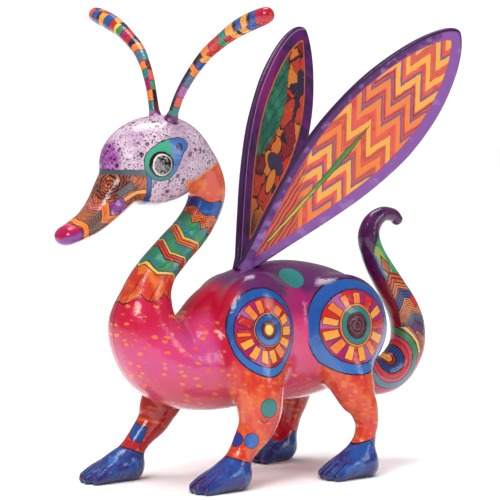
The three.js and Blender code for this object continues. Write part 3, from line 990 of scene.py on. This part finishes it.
def leg_painting(where):
    x, y, z = where
    color = body_painting(where)
    dots = (
        ((-17.3, -50.3, 50.2), 5.6, TEAL),
        ((-27.6, -46.4, 30.4), 4.4, srgb(52, 104, 184)),
        ((-34, -39.5, 30.8), 4.2, srgb(44, 58, 150)),
    )
    for centre, radius, shade in dots:
        color = outlined(color, ball(where, centre, radius), shade, 0.45)
    # a square on the front right shin and a smile on the left one
    slant, rise = y - 23.5, z - 29.75
    square = most(rise - slant * 0.23 - 4, slant * 0.52 - rise - 3.8, slant - rise * 0.385 - 3.4)
    square = most(square, x + 67.4 - (z - 23.9) * 0.49)
    color = outlined(color, square, BLUE, 0.4)
    smile = most(abs(ball(where, (-20.5, -49.2, 44), 2.6)) - 0.3, z - 43.2)
    color = lay(color, smile, INK, 0.2)
    # the blue feet, with darker stripes between the toes
    paint = clouds(BLUE, INDIGO, 9, 3, 8.0, 0.42, 0.62)
    paint = clouds(paint, srgb(70, 124, 204), 6, 3, 9.0, 0.52, 0.68, 0.6)
    paint = mix(paint, srgb(20, 30, 96), ramp(z, 9, 2) * 0.7)
    stripe = abs(repeat(attribute("across") + noise(7, 2, 10.0) * 2, 5.3)) - 0.45
    stripe_paint = clouds(INK, srgb(190, 30, 50), 5, 1, 11.0, 0.56, 0.64)
    paint = mix(paint, stripe_paint, cover(stripe) * ramp(z, 15, 9))
    color = outlined(color, attribute("foot"), paint, 0.8)
    # a red patch on the rear right shin and its foot
    red_patch = least(ball(where, (44, 28.5, 24), 7.5), ball(where, (39, 28, 17.5), 5))
    return lay(color, red_patch, srgb(204, 6, 34), 0.6)


def round_limb(wander=0.9):
    """Where a point is on a limb: millimetres along it, and degrees round it from its outer side."""
    x, y = attribute("turn_x"), attribute("turn_y")
    along = attribute("run") + (noise(5, 2, 20.0) - 0.5) * wander
    return along, calc("ARCTAN2", y, abs(x)) * 57.3 + (noise(6, 2, 21.0) - 0.5) * 6


def stripes(color, value, start, end, period, paint, ink, share=0.3):
    """Fine lines of ink over a band of paint, all the way from start to end."""
    lines = abs(repeat(value, period)) - period * share / 2
    return lay(color, band(value, start, end), lay(paint, lines, ink, 0.08))


def collar(color, along, turn):
    """The orange collar at the foot of the neck, with a scalloped edge and a yellow one above."""
    scallop = abs(calc("SINE", (turn - 12) * (math.pi / 56))) * 5.2
    lower = along - (119.8 - 0.07 * turn + scallop)
    upper = along - (104.3 - 0.033 * turn + zigzag(turn - 23, 92, 4.2))
    paint = clouds(srgb(214, 56, 36), srgb(238, 122, 50), 9, 3, 22.0, 0.44, 0.68)
    paint = clouds(paint, AMBER, 6, 2, 23.0, 0.58, 0.7, 0.7)
    fold = abs(repeat(turn + along * 1.2 + noise(12, 2, 24.0) * 20, 46)) * 0.2 - 0.28
    paint = lay(paint, fold, srgb(150, 36, 26), 0.2)
    inside = most(lower, -upper)
    color = lay(color, most(lower - 0.7, -upper - 0.6), INK)
    color = lay(color, inside, paint)
    color = lay(color, band(upper, 1.6, 2.1), INK)
    return lay(color, band(upper, 0, 1.5), YELLOW)


def salmon():
    """The paint of the nape, on the neck and on the back of the head."""
    return clouds(srgb(222, 84, 62), srgb(240, 132, 64), 8, 3, 29.0, 0.45, 0.66)


def neck_painting(_):
    """Teal and green, with bands of other colours: the nape is at the top and the collar below."""
    along, turn = round_limb()
    step = along - zigzag(turn - 22, 100, 5)
    color = clouds(TEAL, GREEN, 8, 3, 25.0, 0.42, 0.58)
    color = clouds(color, srgb(96, 176, 150), 5, 3, 26.0, 0.56, 0.72, 0.8)
    leaf = abs(repeat(turn + along * 2.2, 70)) * 0.2 - 0.16
    color = lay(color, most(leaf, band(along, 66, 108)), srgb(28, 74, 70))
    # two groups of chevrons, then a patch of zigzags
    for start, end, shade in ((77.6, 83.2, ORANGE), (90.6, 96, srgb(206, 52, 46))):
        color = lay(color, band(step, start - 0.5, end + 0.5), INK)
        color = stripes(color, step, start, end, 2.0, mix(srgb(222, 84, 48), shade, 0.6), INK, 0.3)
        color = lay(color, band(step, start, start + 1.0), YELLOW)
    zig = along - zigzag(turn - 12.5, 34, 4)
    warm = clouds(srgb(214, 70, 44), ORANGE, 4, 2, 27.0, 0.4, 0.6)
    upper = least(most(band(zig, 55, 67.5), -turn - 52), band(along, 58, 66))
    color = lay(color, upper - 0.4, INK)
    color = lay(color, upper, lay(warm, abs(repeat(zig, 2.1)) - 0.3, INK))
    # the blue band and the salmon nape
    wave = calc("SINE", turn * 0.075) * 1.6
    blue = mix(BLUE, srgb(24, 44, 130), ramp(turn, -40, -80))
    blue = clouds(blue, SKY, 6, 2, 28.0, 0.55, 0.7, 0.6)
    color = outlined(color, band(along + wave, 46, 60.5), blue, 0.5)
    color = outlined(color, along - 51.6 + wave * 0.8, salmon(), 0.7)
    return collar(color, along, turn)


def speckles(color):
    """Flecks, dashes and small rings of dark paint over a pale ground."""
    color = clouds(color, srgb(112, 84, 112), 0.9, 2, 39.0, 0.57, 0.64, 0.85)
    for size, radius, ink in ((1.25, 0.34, srgb(140, 110, 142)), (1.9, 0.5, srgb(78, 54, 84))):
        cells, pick = spots(size)
        color = lay(color, cells - radius * (pick * 1.7 - 0.2), ink, 0.15)
    for size, share in ((2.6, 0.66), (4.6, 0.95)):
        cells, pick = spots(size)
        color = lay(color, cells + noise(2, 2, 38.0) * 0.9 - 0.4 - pick * share, srgb(40, 28, 44), 0.2)
    ring = most(abs(cells - 1.2) - 0.28, 0.72 - pick)
    return lay(color, ring, srgb(64, 46, 66))


def bill_base(along, arc):
    """Curls like the grain of a knot, a hatched leaf, an amber arrow and a violet patch."""
    color = clouds(srgb(146, 70, 44), srgb(204, 102, 56), 5, 3, 31.0, 0.42, 0.6)
    knot = hypot((along - 23) * 0.8, arc + 10.5)
    curl = lay(color, abs(repeat(knot + noise(7, 3, 32.0) * 6, 1.6)) - 0.34, INK)
    color = lay(color, least(knot - 8, most(band(along, 12, 34), arc + 3)), curl)
    grain = abs(repeat(along * 0.5 - arc + noise(5, 3, 32.5) * 9, 2.6)) - 0.22
    color = lay(color, grain, srgb(60, 26, 22), 0.1)
    leaf = most(band(along - arc * 0.4, 16, 27), band(arc + along * 0.3, 2.4, 6.0))
    hatch = lay(srgb(120, 116, 118), abs(repeat(along * 0.8 + arc, 0.9)) - 0.16, INK, 0.08)
    color = outlined(color, leaf, hatch, 0.5)
    arrow = abs(arc - 3.4 + (along - 18) * 0.28)
    color = lay(color, most(arrow - 1.5, band(along, 6, 31)), INK)
    color = lay(color, most(arrow - 1.1, band(along, 7, 30)), AMBER)
    low = most(band(along - arc * 0.3, 25.5, 36), -arc + (30 - along) * 0.4 - 3)
    violet = clouds(srgb(126, 40, 128), srgb(190, 140, 196), 4, 2, 33.0, 0.52, 0.66)
    return outlined(color, low, violet, 0.5)


def bill_painting():
    """The base near the face, then zigzags, fine chevrons and a crimson tip."""
    along, turn = round_limb(0.7)
    color = bill_base(along, turn * 0.19)
    zig = along - zigzag(turn + 30, 72, 6)
    pink = mix(srgb(166, 90, 108), ORANGE, ramp(turn, -60, -20))
    color = outlined(color, band(zig, 32.5, 39), pink, 0.6)
    color = outlined(color, band(zig, 35.4, 37), srgb(232, 112, 44), 0.3)
    umber = mix(srgb(140, 104, 88), srgb(212, 116, 62), ramp(turn, -30, -60))
    color = stripes(color, zig, 39.6, 51, 1.5, umber, INK, 0.42)
    color = outlined(color, band(along - zigzag(turn + 20, 90, 2), 52.5, 56), ORANGE, 0.5)
    tip = mix(srgb(132, 58, 150), srgb(176, 6, 76), ramp(turn, -10, -16))
    tip = mix(tip, srgb(232, 70, 92), ramp(turn, -30, -50) * ramp(along, 64, 60))
    return outlined(color, 57.6 - along + zigzag(turn + 20, 90, 2), tip, 0.5)


def skull_painting(where):
    """Pale lilac with dark speckles, and a violet brow in front."""
    pale = clouds(srgb(222, 196, 214), srgb(202, 166, 194), 12, 3, 34.0, 0.42, 0.66)
    brow = ball(where, (-102.5, -2, 201.5), 10.5)
    violet = clouds(srgb(150, 62, 150), srgb(196, 110, 190), 2, 3, 35.0, 0.4, 0.62)
    color = mix(pale, violet, ramp(brow + noise(5, 2, 36.0) * 5, 5.5, 0))
    color = speckles(color)
    dots, pick = spots(3.0)
    return mix(color, srgb(70, 16, 80), cover(dots - 0.5 - pick * 0.9, 0.2) * ramp(brow, 3, -1))


def eye_surround(color, x, z):
    """A teardrop made of rounds that get smaller, mint in front and blue behind."""
    drop = disc(x, z, -77.4, 200, 10.4)
    for dx, dz, radius in ((0, 0, 9.4), (3, 2.8, 7.8), (6, 5, 6.2), (9, 6.8, 4.8), (12, 7.4, 3.4)):
        drop = least(drop, disc(x, z, dx - 74.6, dz + 203.2, radius))
    mint = mix(srgb(70, 170, 136), TEAL, ramp(z, 202, 192))
    paint = mix(mint, srgb(66, 112, 184), ramp(x + noise(4, 2, 37.0) * 3, -71, -68))
    paint = outlined(paint, disc(x, z, -65, 209.6, 1.8), srgb(60, 54, 110), 0.5)
    return lay(outlined(color, drop, paint, 0.45), disc(x, z, -77.7, 199.4, 7.7), INK)


def head_painting(where):
    x, y, z = where
    color = skull_painting(where)
    # the salmon nape, with its yellow edge
    nape = z - 187.2 - (x + 57.9) * 0.17 - most(x + 50, 0) * 0.3
    behind = most(nape, (187.2 - z) * 0.94 - x - 57.9)
    color = lay(color, behind - 1.3, srgb(150, 80, 60))
    color = lay(color, behind - 1.0, AMBER)
    color = lay(color, behind, salmon())
    # the bill, with a slate band above it and a blue one behind
    edge = x + 86.3 - (192 - z) * 0.22
    bill = most(z - 193.2, edge)
    color = lay(color, most(z - 196.2, x + 83), INK)
    color = lay(color, most(z - 195.9, x + 83.2), mix(srgb(70, 84, 96), TEAL, ramp(x, -92, -86)))
    strap = most(abs(edge - 1.3) - 1.2, z - 194)
    color = lay(color, bill, bill_painting())
    color = outlined(color, strap, mix(srgb(52, 104, 172), srgb(30, 62, 140), ramp(z, 190, 180)), 0.4)
    return mix(color, eye_surround(color, x, z), ramp(abs(y), 12, 15))


TAIL_BANDS = (  # start, end, colour and the period of the lines
    (101, 109, srgb(222, 90, 48), 3.6),
    (95, 101, srgb(232, 132, 74), 2.4),
    (88, 95, srgb(66, 84, 148), 2.4),
    (77, 88, srgb(226, 138, 88), 1.7),
    (71, 77, srgb(104, 112, 140), 1.8),
    (64, 71, srgb(96, 40, 96), 2.2),
    (56, 64, srgb(206, 110, 66), 2.2),
)


def tail_outside(along, turn):
    """From the tip down: a green leaf, then bands of chevrons."""
    step = along + zigzag(turn - 2, 84, 7)
    color = clouds(GREEN, srgb(80, 170, 120), 6, 2, 43.0, 0.45, 0.6)
    color = lay(color, oval(along, turn * 0.14, 121, 0.4, 13, 3.2), srgb(168, 186, 80))
    lozenge = abs(along - 119.5) * 0.36 + abs(turn * 0.14) - 2.4
    color = outlined(color, lozenge, lay(srgb(226, 130, 84), abs(repeat(turn * 0.14, 1.1)) - 0.2, INK), 0.6)
    color = lay(color, most(band(turn, 18, 40), band(along, 106, 128)), SKY)
    for start, end, shade, period in TAIL_BANDS:
        shade = clouds(shade, MAROON, 5, 2, start, 0.55, 0.7, 0.5)
        color = lay(color, band(step - 6, start - 0.4, end + 0.4), INK)
        color = stripes(color, step - 6, start, end, period, shade, INK, 0.34)
    return outlined(color, most(band(turn, -50, -18), band(along, 84, 91)), RED, 0.4)


def whorl_painting(x, z):
    """Rings of several colours round the root of the tail."""
    r = hypot(x - 101, z - 68) + noise(8, 2, 44.0) * 1.5
    color = clouds(srgb(222, 72, 108), srgb(196, 84, 120), 8, 2, 45.0, 0.4, 0.6)
    color = outlined(color, most(band(r, 21.6, 23.2), 70 - z), YELLOW, 0.4)
    color = outlined(color, band(r, 17, 20.6), mix(srgb(96, 140, 158), GREEN, ramp(z, 54, 68)), 0.5)
    color = outlined(color, band(r, 11.2, 13.8), srgb(214, 66, 62), 0.4)
    rings = lay(BLUE, abs(repeat(r, 1.5)) - 0.3, srgb(28, 20, 64))
    color = outlined(color, band(r, 6.4, 10.6), rings, 0.5)
    color = outlined(color, r - 5.4, srgb(150, 40, 34), 0.6)
    return r, outlined(color, r - 3.4, AMBER, 0.5)


def tail_painting(where):
    along, turn = round_limb()
    x, _, z = where
    inner = mix(srgb(128, 18, 34), PURPLE, ramp(along + noise(10, 2, 41.0) * 20, 112, 128))
    inner = mix(inner, srgb(58, 20, 70), ramp(noise(9, 3, 42.0), 0.5, 0.68) * ramp(along, 90, 120))
    # painted highlight: lighter rosy patches over the crimson in the middle of the inner side
    rosy_highlight = ramp(noise(12, 2, 42.5), 0.46, 0.62) * ramp(along, 112, 90) * 0.7
    inner = mix(inner, srgb(150, 60, 92), rosy_highlight)
    inner = mix(inner, srgb(190, 20, 36), ramp(along, 80, 70))
    edge = (turn - 27 - most(105 - along, 0) + most(along - 130, 0) * 5) * 0.16
    color = lay(inner, edge - 0.5, INK)
    color = lay(color, edge, tail_outside(along, turn))
    r, whorl = whorl_painting(x, z)
    root = most(least(r - 24.4, z - 62), along - 74)
    return lay(lay(color, root - 0.6, INK), root, whorl)


def blocks(plan, along):
    """Blocks of colour along a feeler, each as long as the plan says, with ink between them."""
    whole = sum(length for _, length in plan)
    made = node("ValToRGB", [along / whole])
    made.color_ramp.interpolation = "CONSTANT"
    stops = made.color_ramp.elements
    ends = list(itertools.accumulate(length for _, length in plan))
    for i, (color, _) in enumerate(plan):
        stop = stops[i] if i < 2 else stops.new(1)
        stop.position = ends[i - 1] / whole if i else 0
        stop.color = (*color, 1)
    color = Num(made.outputs["Color"])
    for end in ends[:-1]:
        color = lay(color, abs(along - end) - 0.3, INK, 0.15)
    return color


def antenna_painting(front, back, split):
    """Two rows of blocks, out of step with each other, over a violet foot."""

    def painting(_):
        x, y = attribute("turn_x"), attribute("turn_y")
        along = attribute("run") + (noise(4, 2, 51.0) - 0.5) * 2.4
        seam = (x - y) * 2 + split + (noise(5, 2, 52.0) - 0.5) * 2
        color = mix(blocks(front, along), blocks(back, along), cover(seam, 0.1))
        color = strokes(color, srgb(70, 24, 44), srgb(240, 170, 110), 3, 54.0, 0.35)
        foot = clouds(PURPLE, MAUVE, 3, 2, 53.0, 0.45, 0.6)
        return lay(color, along - 3.2, foot, 0.4)

    return painting


def mosaic(where, size, seed):
    """Cells like crazy paving: the distance from a cell's edge, and the cell's chance."""
    moved = Num(node("VectorMath", (where, [seed] * 3)).outputs[0])
    edges = {"Vector": moved, "Scale": 1 / size}
    edge = node("TexVoronoi", edges, feature="DISTANCE_TO_EDGE").outputs["Distance"]
    return Num(edge) * size, spots(size, moved)[1]


def zigzag_field(u, v):
    """Amber zigzags on coral, with shadows beside them and finer lines between."""
    pitch = 13.6
    field = clouds(srgb(236, 88, 76), srgb(220, 60, 60), 7, 3, 63.0, 0.47, 0.64)
    step = u - zigzag(v + (u - 141) * 0.3 + 3, 16.4, 14) + noise(9, 2, 64.0) * 2.4
    index = calc("FLOOR", step / pitch)
    bar = repeat(step - pitch / 2, pitch) + (noise(3, 3, 64.5) - 0.5) * 1.6
    paint = sorted_by(srgb(244, 172, 70), chance(index, 1.2), (0.72, ORANGE))
    greyed = calc("GREATER_THAN", chance(index, 3.3), 0.5)
    shadow = mix(srgb(160, 62, 44), srgb(124, 84, 120), greyed)
    field = lay(field, band(bar, -3.5, 3.9 + greyed * 1.8), shadow, 0.2)
    field = lay(field, band(bar, -3.2, 3.1), paint, 0.2)
    second = most(band(bar, -6, -5.1), 0.7 - chance(index, 5.1))
    field = outlined(field, second, mix(srgb(236, 150, 62), srgb(150, 60, 60), chance(index, 2.2)), 0.3)
    field = lay(field, band(bar, 6.2, 6.6), srgb(184, 48, 48), 0.2)
    fan = abs(repeat(v * 1.6 + u * 0.3 + noise(8, 2, 64.8) * 4, 4)) - 0.7
    fan = lay(srgb(214, 84, 50), fan, srgb(120, 36, 44), 0.2)
    return mix(field, fan, ramp(u + v * 1.5, 52, 40))


def outer_wing(u, v, rim):
    """A lilac border round zigzags, with a leaf vein up the middle."""
    border = mix(srgb(134, 78, 160), srgb(82, 24, 104), ramp(noise(12, 3, 61.0) - v * 0.014, 0.5, 0.7))
    border = clouds(border, srgb(160, 116, 184), 7, 4, 62.0, 0.52, 0.68, 0.7)
    color = lay(border, rim - 1.3 + v * 0.04, srgb(54, 16, 66), 0.4)
    inner = 7 + v * 0.05 - rim
    color = lay(color, inner - 0.5, srgb(180, 60, 96), 0.3)
    color = lay(color, inner, zigzag_field(u, v), 0.25)
    middle = v + 1 + most(u - 80, 0) * 0.03
    vein = abs(middle) - least(u * 0.012 + 0.3, (110 - u) * 0.08)
    leaf = mix(srgb(206, 196, 70), srgb(74, 140, 66), ramp(u + noise(7, 2, 65.0) * 50, 66, 96))
    leaf = lay(leaf, abs(middle + 0.5) - 0.22, srgb(60, 90, 40), 0.2)
    return outlined(color, most(vein, 18 - u), leaf, 0.45, srgb(44, 30, 20))


def warm_mosaic(u, v):
    """Patches of several warm colours with dark edges."""
    swirl = vector(u * 0.6 + noise(14, 2, 67.0) * 18, v + noise(14, 2, 67.5) * 18)
    edge, pick = mosaic(swirl, 10.5, 3.0)
    warm = (0.25, srgb(224, 116, 40)), (0.45, srgb(140, 20, 36)), (0.66, srgb(36, 30, 66))
    patch = sorted_by(srgb(196, 56, 30), pick, *warm, (0.74, srgb(222, 128, 44)), (0.88, srgb(206, 44, 34)))
    patch = strokes(patch, srgb(60, 16, 28), srgb(226, 116, 44), 4, 68.0, 0.8)
    patch = lay(patch, edge - 0.4, INK, 0.2)
    patch = mix(patch, srgb(64, 44, 40), ramp(u, 50, 24) * 0.85)
    patch = outlined(patch, oval(u, v, 81, 5, 7, 8), srgb(60, 44, 80), 0.5)
    return outlined(patch, oval(u, v - (u - 68) * 0.1, 67, 5, 10, 3.2), srgb(226, 132, 40), 0.6)


def inner_wing(u, v, rim):
    """A deep violet border round a green leaf and a mosaic of warm patches."""
    color = clouds(srgb(96, 10, 104), srgb(54, 10, 74), 10, 3, 66.0, 0.42, 0.6)
    color = mix(color, srgb(140, 14, 112), ramp(v, -14, -20) * ramp(u, 90, 120) * 0.8)
    color = lay(color, rim - 1.1, srgb(38, 14, 44), 0.3)
    # painted highlight: a pale lilac line just inside the dark rim, along the leading edge
    color = lay(color, most(abs(rim - 2.2) - 0.2, v), srgb(186, 150, 190), 0.2)
    green = clouds(srgb(28, 96, 78), srgb(48, 128, 96), 8, 3, 69.0, 0.42, 0.6)
    vein = abs(repeat(v - u * 0.3 + noise(6, 2, 70.0) * 4, 5.6)) - 0.3
    green = lay(green, vein, srgb(14, 50, 46), 0.2)
    bend = (u - 120) / 47
    leaf = v - 0.5 + bend * bend * 13 + noise(6, 2, 70.5) * 2
    patch = lay(warm_mosaic(u, v), most(leaf - 0.9, abs(bend) - 1), srgb(96, 70, 36), 0.4)
    patch = lay(patch, most(leaf, abs(bend) - 1), green)
    inner = 10.2 + ramp(v, 0, 8) * 2 - rim
    color = lay(color, inner - 1.2, INK, 0.2)
    color = lay(color, inner - 1.0, srgb(214, 104, 40), 0.2)
    return lay(color, inner, patch)


def wing_painting(_):
    wander = noise(6, 2, 60.0) * 1.2 - 0.6
    u, v, rim = attribute("along") + wander, attribute("across") - wander, attribute("rim")
    color = mix(inner_wing(u, v, rim), outer_wing(u, v, rim), cover(-attribute("outward"), 0.3))
    edge = lay(color, rim - 0.5, srgb(62, 22, 78), 0.5)
    return mix(edge, srgb(214, 178, 128), cover(0.8 - attribute("sunk"), 0.3))


def eye_painting(where):
    x, _, z = where
    u = x - EYE["x"]
    r = hypot(u * 1.08, z - EYE["z"])
    color = clouds(srgb(150, 142, 148), srgb(84, 76, 86), 1.4, 3, 71.0, 0.42, 0.6)
    blots = noise(2.2, 3, 72.0) + u * 0.035
    color = mix(color, srgb(12, 10, 14), ramp(blots, 0.49, 0.54))
    color = lay(color, abs(r - 6.9) - 0.5, srgb(16, 14, 18))
    return lay(color, abs(r - 6.2) - 0.4, srgb(226, 218, 200))


def wood_painting(where):
    x, y, _ = where
    rings = abs(calc("SINE", hypot(x * 0.9, y * 0.9) * 2.2 + noise(9, 2, 73.0) * 8))
    color = mix(srgb(206, 168, 118), srgb(224, 192, 144), rings)
    return clouds(color, srgb(168, 126, 82), 1.4, 3, 74.0, 0.56, 0.7, 0.5)


# ---- the carved figure ----

PAINTINGS = {
    "torso": ("body_paint", body_painting),
    "neck": ("neck_paint", neck_painting),
    "head": ("head_paint", head_painting),
    "tail": ("tail_paint", tail_painting),
}
ANKLES = {  # where the foot's paint ends: a point on the line, and its slope
    "front_left_leg": (-36, 19, -0.35),
    "front_right_leg": (-75.3, 19.5, -0.4),
    "rear_left_leg": (48.5, 20.7, 0.3),
    "rear_right_leg": (43, 17.5, 0.2),
}

STRIPE_SHIFT = 2.65  # puts the middle of a foot half-way between two stripes
leg_material = material("leg_lacquer", leg_painting)
points, quads = surface(figure_field, *FIGURE_REACH, BODY_PITCH)
normals = facing(figure_field, points)
face_owner = owner(points[quads].mean(axis=1))
for index, name in enumerate(FIGURE_PIECES):
    used, faces = part(quads, face_owner == index)
    own = points[used]
    fields = {"off_leg": least_of(*(leg.shank(own) for leg in legs.values()))}
    if name in legs:
        x, z, rise = ANKLES[name]
        fields["foot"] = own[:, 2] - z - (own[:, 0] - x) * rise
        fields["across"] = own[:, 1] - LEGS[name]["shank"][-1][1] + STRIPE_SHIFT
        slot, made = "leg_paint", leg_material
    else:
        slot, painting = PAINTINGS[name]
        made = material(name + "_lacquer", painting)
        limb = {"head": bill, "tail": tail}.get(name, spine)
        fields.update(limb_fields(limb, own))
    make_piece(name + "_carved", own, faces, normals[used], fields, made, "figure", slot, name)

# ---- wings, antennae, eyes and pegs ----

# Each feeler's blocks of paint from its foot up, each with its length, on its two faces.
LEFT_FRONT = (
    (TEAL, 9), (CORAL, 7), (MAUVE, 8), (SLATE, 9), (ORANGE, 7), (BLUE, 6), (AMBER, 8), (RED, 14),
    (GREEN, 7), (RED, 7), (AMBER, 8), (NAVY, 3), (AMBER, 8), (BLUE, 10), (RED, 10),
)
LEFT_BACK = (
    (GREEN, 6), (INK, 9), (PURPLE, 10), (NAVY, 11), (ORANGE, 5), (INK, 9), (ORANGE, 9), (RED, 12),
    (TEAL, 8), (AMBER, 9), (INK, 3), (BLUE, 6), (AMBER, 7), (INK, 3), (BLUE, 6), (CRIMSON, 8),
)
RIGHT_FRONT = (
    (MAROON, 9), (INK, 8), (GREEN, 7), (CORAL, 8), (MAROON, 8), (TEAL, 9), (ORANGE, 7), (INK, 8),
    (RED, 10), (NAVY, 8), (AMBER, 8), (SKY, 8), (RED, 6), (ORANGE, 7), (MAROON, 10),
)
RIGHT_BACK = (
    (TEAL, 10), (ORANGE, 8), (MAGENTA, 8), (TEAL, 7), (ORANGE, 7), (SLATE, 10), (ORANGE, 6), (NAVY, 5),
    (RED, 6), (MAGENTA, 6), (GREEN, 6), (YELLOW, 4), (RED, 6), (BLUE, 8), (AMBER, 7), (INK, 2), (BLUE, 7),
    (CORAL, 6),
)
FEELER_PLANS = {  # by side: the two faces, and how far the seam between them is shifted
    -1: (LEFT_FRONT, LEFT_BACK, 0.6),
    1: (RIGHT_FRONT, RIGHT_BACK, -1.0),
}


def bead_mesh(name, side):
    """A flattened ball, part sunk in the skull and square to its skin."""
    on_skin = np.array([EYE["x"], side * EYE["y"], EYE["z"]])
    outward = (on_skin - skull.centre) / skull.radii**2
    outward /= np.linalg.norm(outward)
    bead = bmesh.new()
    bmesh.ops.create_uvsphere(bead, u_segments=64, v_segments=40, radius=1)
    squash = Vector((EYE["radius"], EYE["radius"], EYE["bulge"]))
    bmesh.ops.scale(bead, vec=squash, verts=bead.verts)
    upright = Vector((0, 0, 1)).rotation_difference(Vector(outward))
    bmesh.ops.rotate(bead, cent=(0, 0, 0), matrix=upright.to_matrix(), verts=bead.verts)
    shift = Vector(on_skin - outward * EYE["sink"] + CENTRE_SHIFT)
    bmesh.ops.translate(bead, vec=shift, verts=bead.verts)
    bmesh.ops.scale(bead, vec=(0.001, 0.001, 0.001), verts=bead.verts)
    mesh = bpy.data.meshes.new(name)
    bead.to_mesh(mesh)
    bead.free()
    mesh.polygons.foreach_set("use_smooth", [True] * len(mesh.polygons))
    return mesh


wing_material = material("wing_lacquer", wing_painting, 0.4, 0.05, 0.22)
eye_material = material("eye_lacquer", eye_painting, 0.1, 0.01)
wood_material = material("bare_wood", wood_painting, 0.6, 0.06, 0.0)
for side, word in zip(SIDES, ("left", "right")):
    wing = Wing(side)
    points, quads = surface(wing, *WING_REACH, WING_PITCH)
    normals = facing(wing, points) @ wing.axes
    placed = wing.root + points @ wing.axes
    fields = {
        "along": points[:, 0],
        "across": points[:, 1],
        "rim": -wing.rim(points),
        "outward": points[:, 2] * side,
        "sunk": -least_of(egg(placed), spine(placed)),
    }
    name = word + "_wing"
    make_piece(name + "_carved", placed, quads, normals, fields, wing_material, name, "wing_paint", name)

    antenna = Antenna(side)
    points, quads = surface(antenna, antenna.low + 2, antenna.high - 2, ANTENNA_PITCH)
    normals = facing(antenna, points)
    fields = limb_fields(antenna.limb, points)
    name = word + "_antenna"
    made = material(name + "_lacquer", antenna_painting(*FEELER_PLANS[side]))
    make_piece(name + "_carved", points, quads, normals, fields, made, name, "antenna_paint", name)

    piece = add(word + "_eye_bead", bead_mesh(word + "_eye_bead", side))
    piece.data.materials.append(eye_material)
    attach(piece, "figure")
    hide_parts(word + "_eye")

# The pegs keep their CAD shape.
for name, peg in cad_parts.items():
    if "dowel" in name or "pin" in name:
        for slot in peg.material_slots:
            slot.material = wood_material

# ---- camera, floor and light ----


def aim_at(thing, target):
    direction = Vector(target) - Vector(thing.location)
    thing.rotation_euler = direction.to_track_quat("-Z", "Y").to_euler()


camera = add("camera", bpy.data.cameras.new("camera"))
camera.location = (-0.8252, -1.3230, 0.290)
aim_at(camera, (0.00148, 0, 0.142))
camera.data.lens = 180.5
camera.data.sensor_width = 36
bpy.context.scene.camera = camera

FLOOR_HALF = 3  # metres
corners = [(x * FLOOR_HALF, y * FLOOR_HALF, 0) for x, y in ((-1, -1), (1, -1), (1, 1), (-1, 1))]
floor_mesh = bpy.data.meshes.new("floor")
floor_mesh.from_pydata(corners, [], [(0, 1, 2, 3)])
floor = add("floor", floor_mesh)
floor_material = bpy.data.materials.new("floor_paper")
floor_material.use_nodes = True
floor_shader = floor_material.node_tree.nodes["Principled BSDF"]
floor_shader.inputs["Base Color"].default_value = (1, 1, 1, 1)
floor_shader.inputs["Roughness"].default_value = 0.7
floor_mesh.materials.append(floor_material)


def softbox(name, location, size, power):
    light = bpy.data.lights.new(name, "AREA")
    light.shape, light.size, light.size_y, light.energy = "RECTANGLE", size[0], size[1], power
    lamp = add(name, light)
    lamp.location = location
    aim_at(lamp, (0, 0, 0.12))


# Each lamp's name, place in metres, size in metres and power in watts.
softbox("key", (-1.1, -0.6, 1.0), (0.45, 0.45), 9)
softbox("fill", (0.8, -1.3, 0.7), (0.4, 0.7), 4)
softbox("overhead", (0.1, 0.3, 1.3), (0.7, 0.5), 8)

# Soft daylight, which makes no highlights.
daylight = add("daylight", bpy.data.lights.new("daylight", "SUN"))
daylight.data.energy, daylight.data.angle = 2.6, math.radians(70)
daylight.visible_glossy = False
daylight.rotation_euler = (math.radians(14), math.radians(-12), 0)

world = bpy.data.worlds.new("world")
bpy.context.scene.world = world
world.use_nodes = True
Num.tree = world.node_tree
background = Num.tree.nodes["Background"]
put(background.inputs["Color"], (1.0, 1.0, 1.0))
seen = Num(node("LightPath", {}).outputs["Is Camera Ray"])
put(background.inputs["Strength"], 0.3 + seen * 0.85)  # the paper behind is brighter than its light
bpy.context.scene.view_settings.view_transform = "Standard"
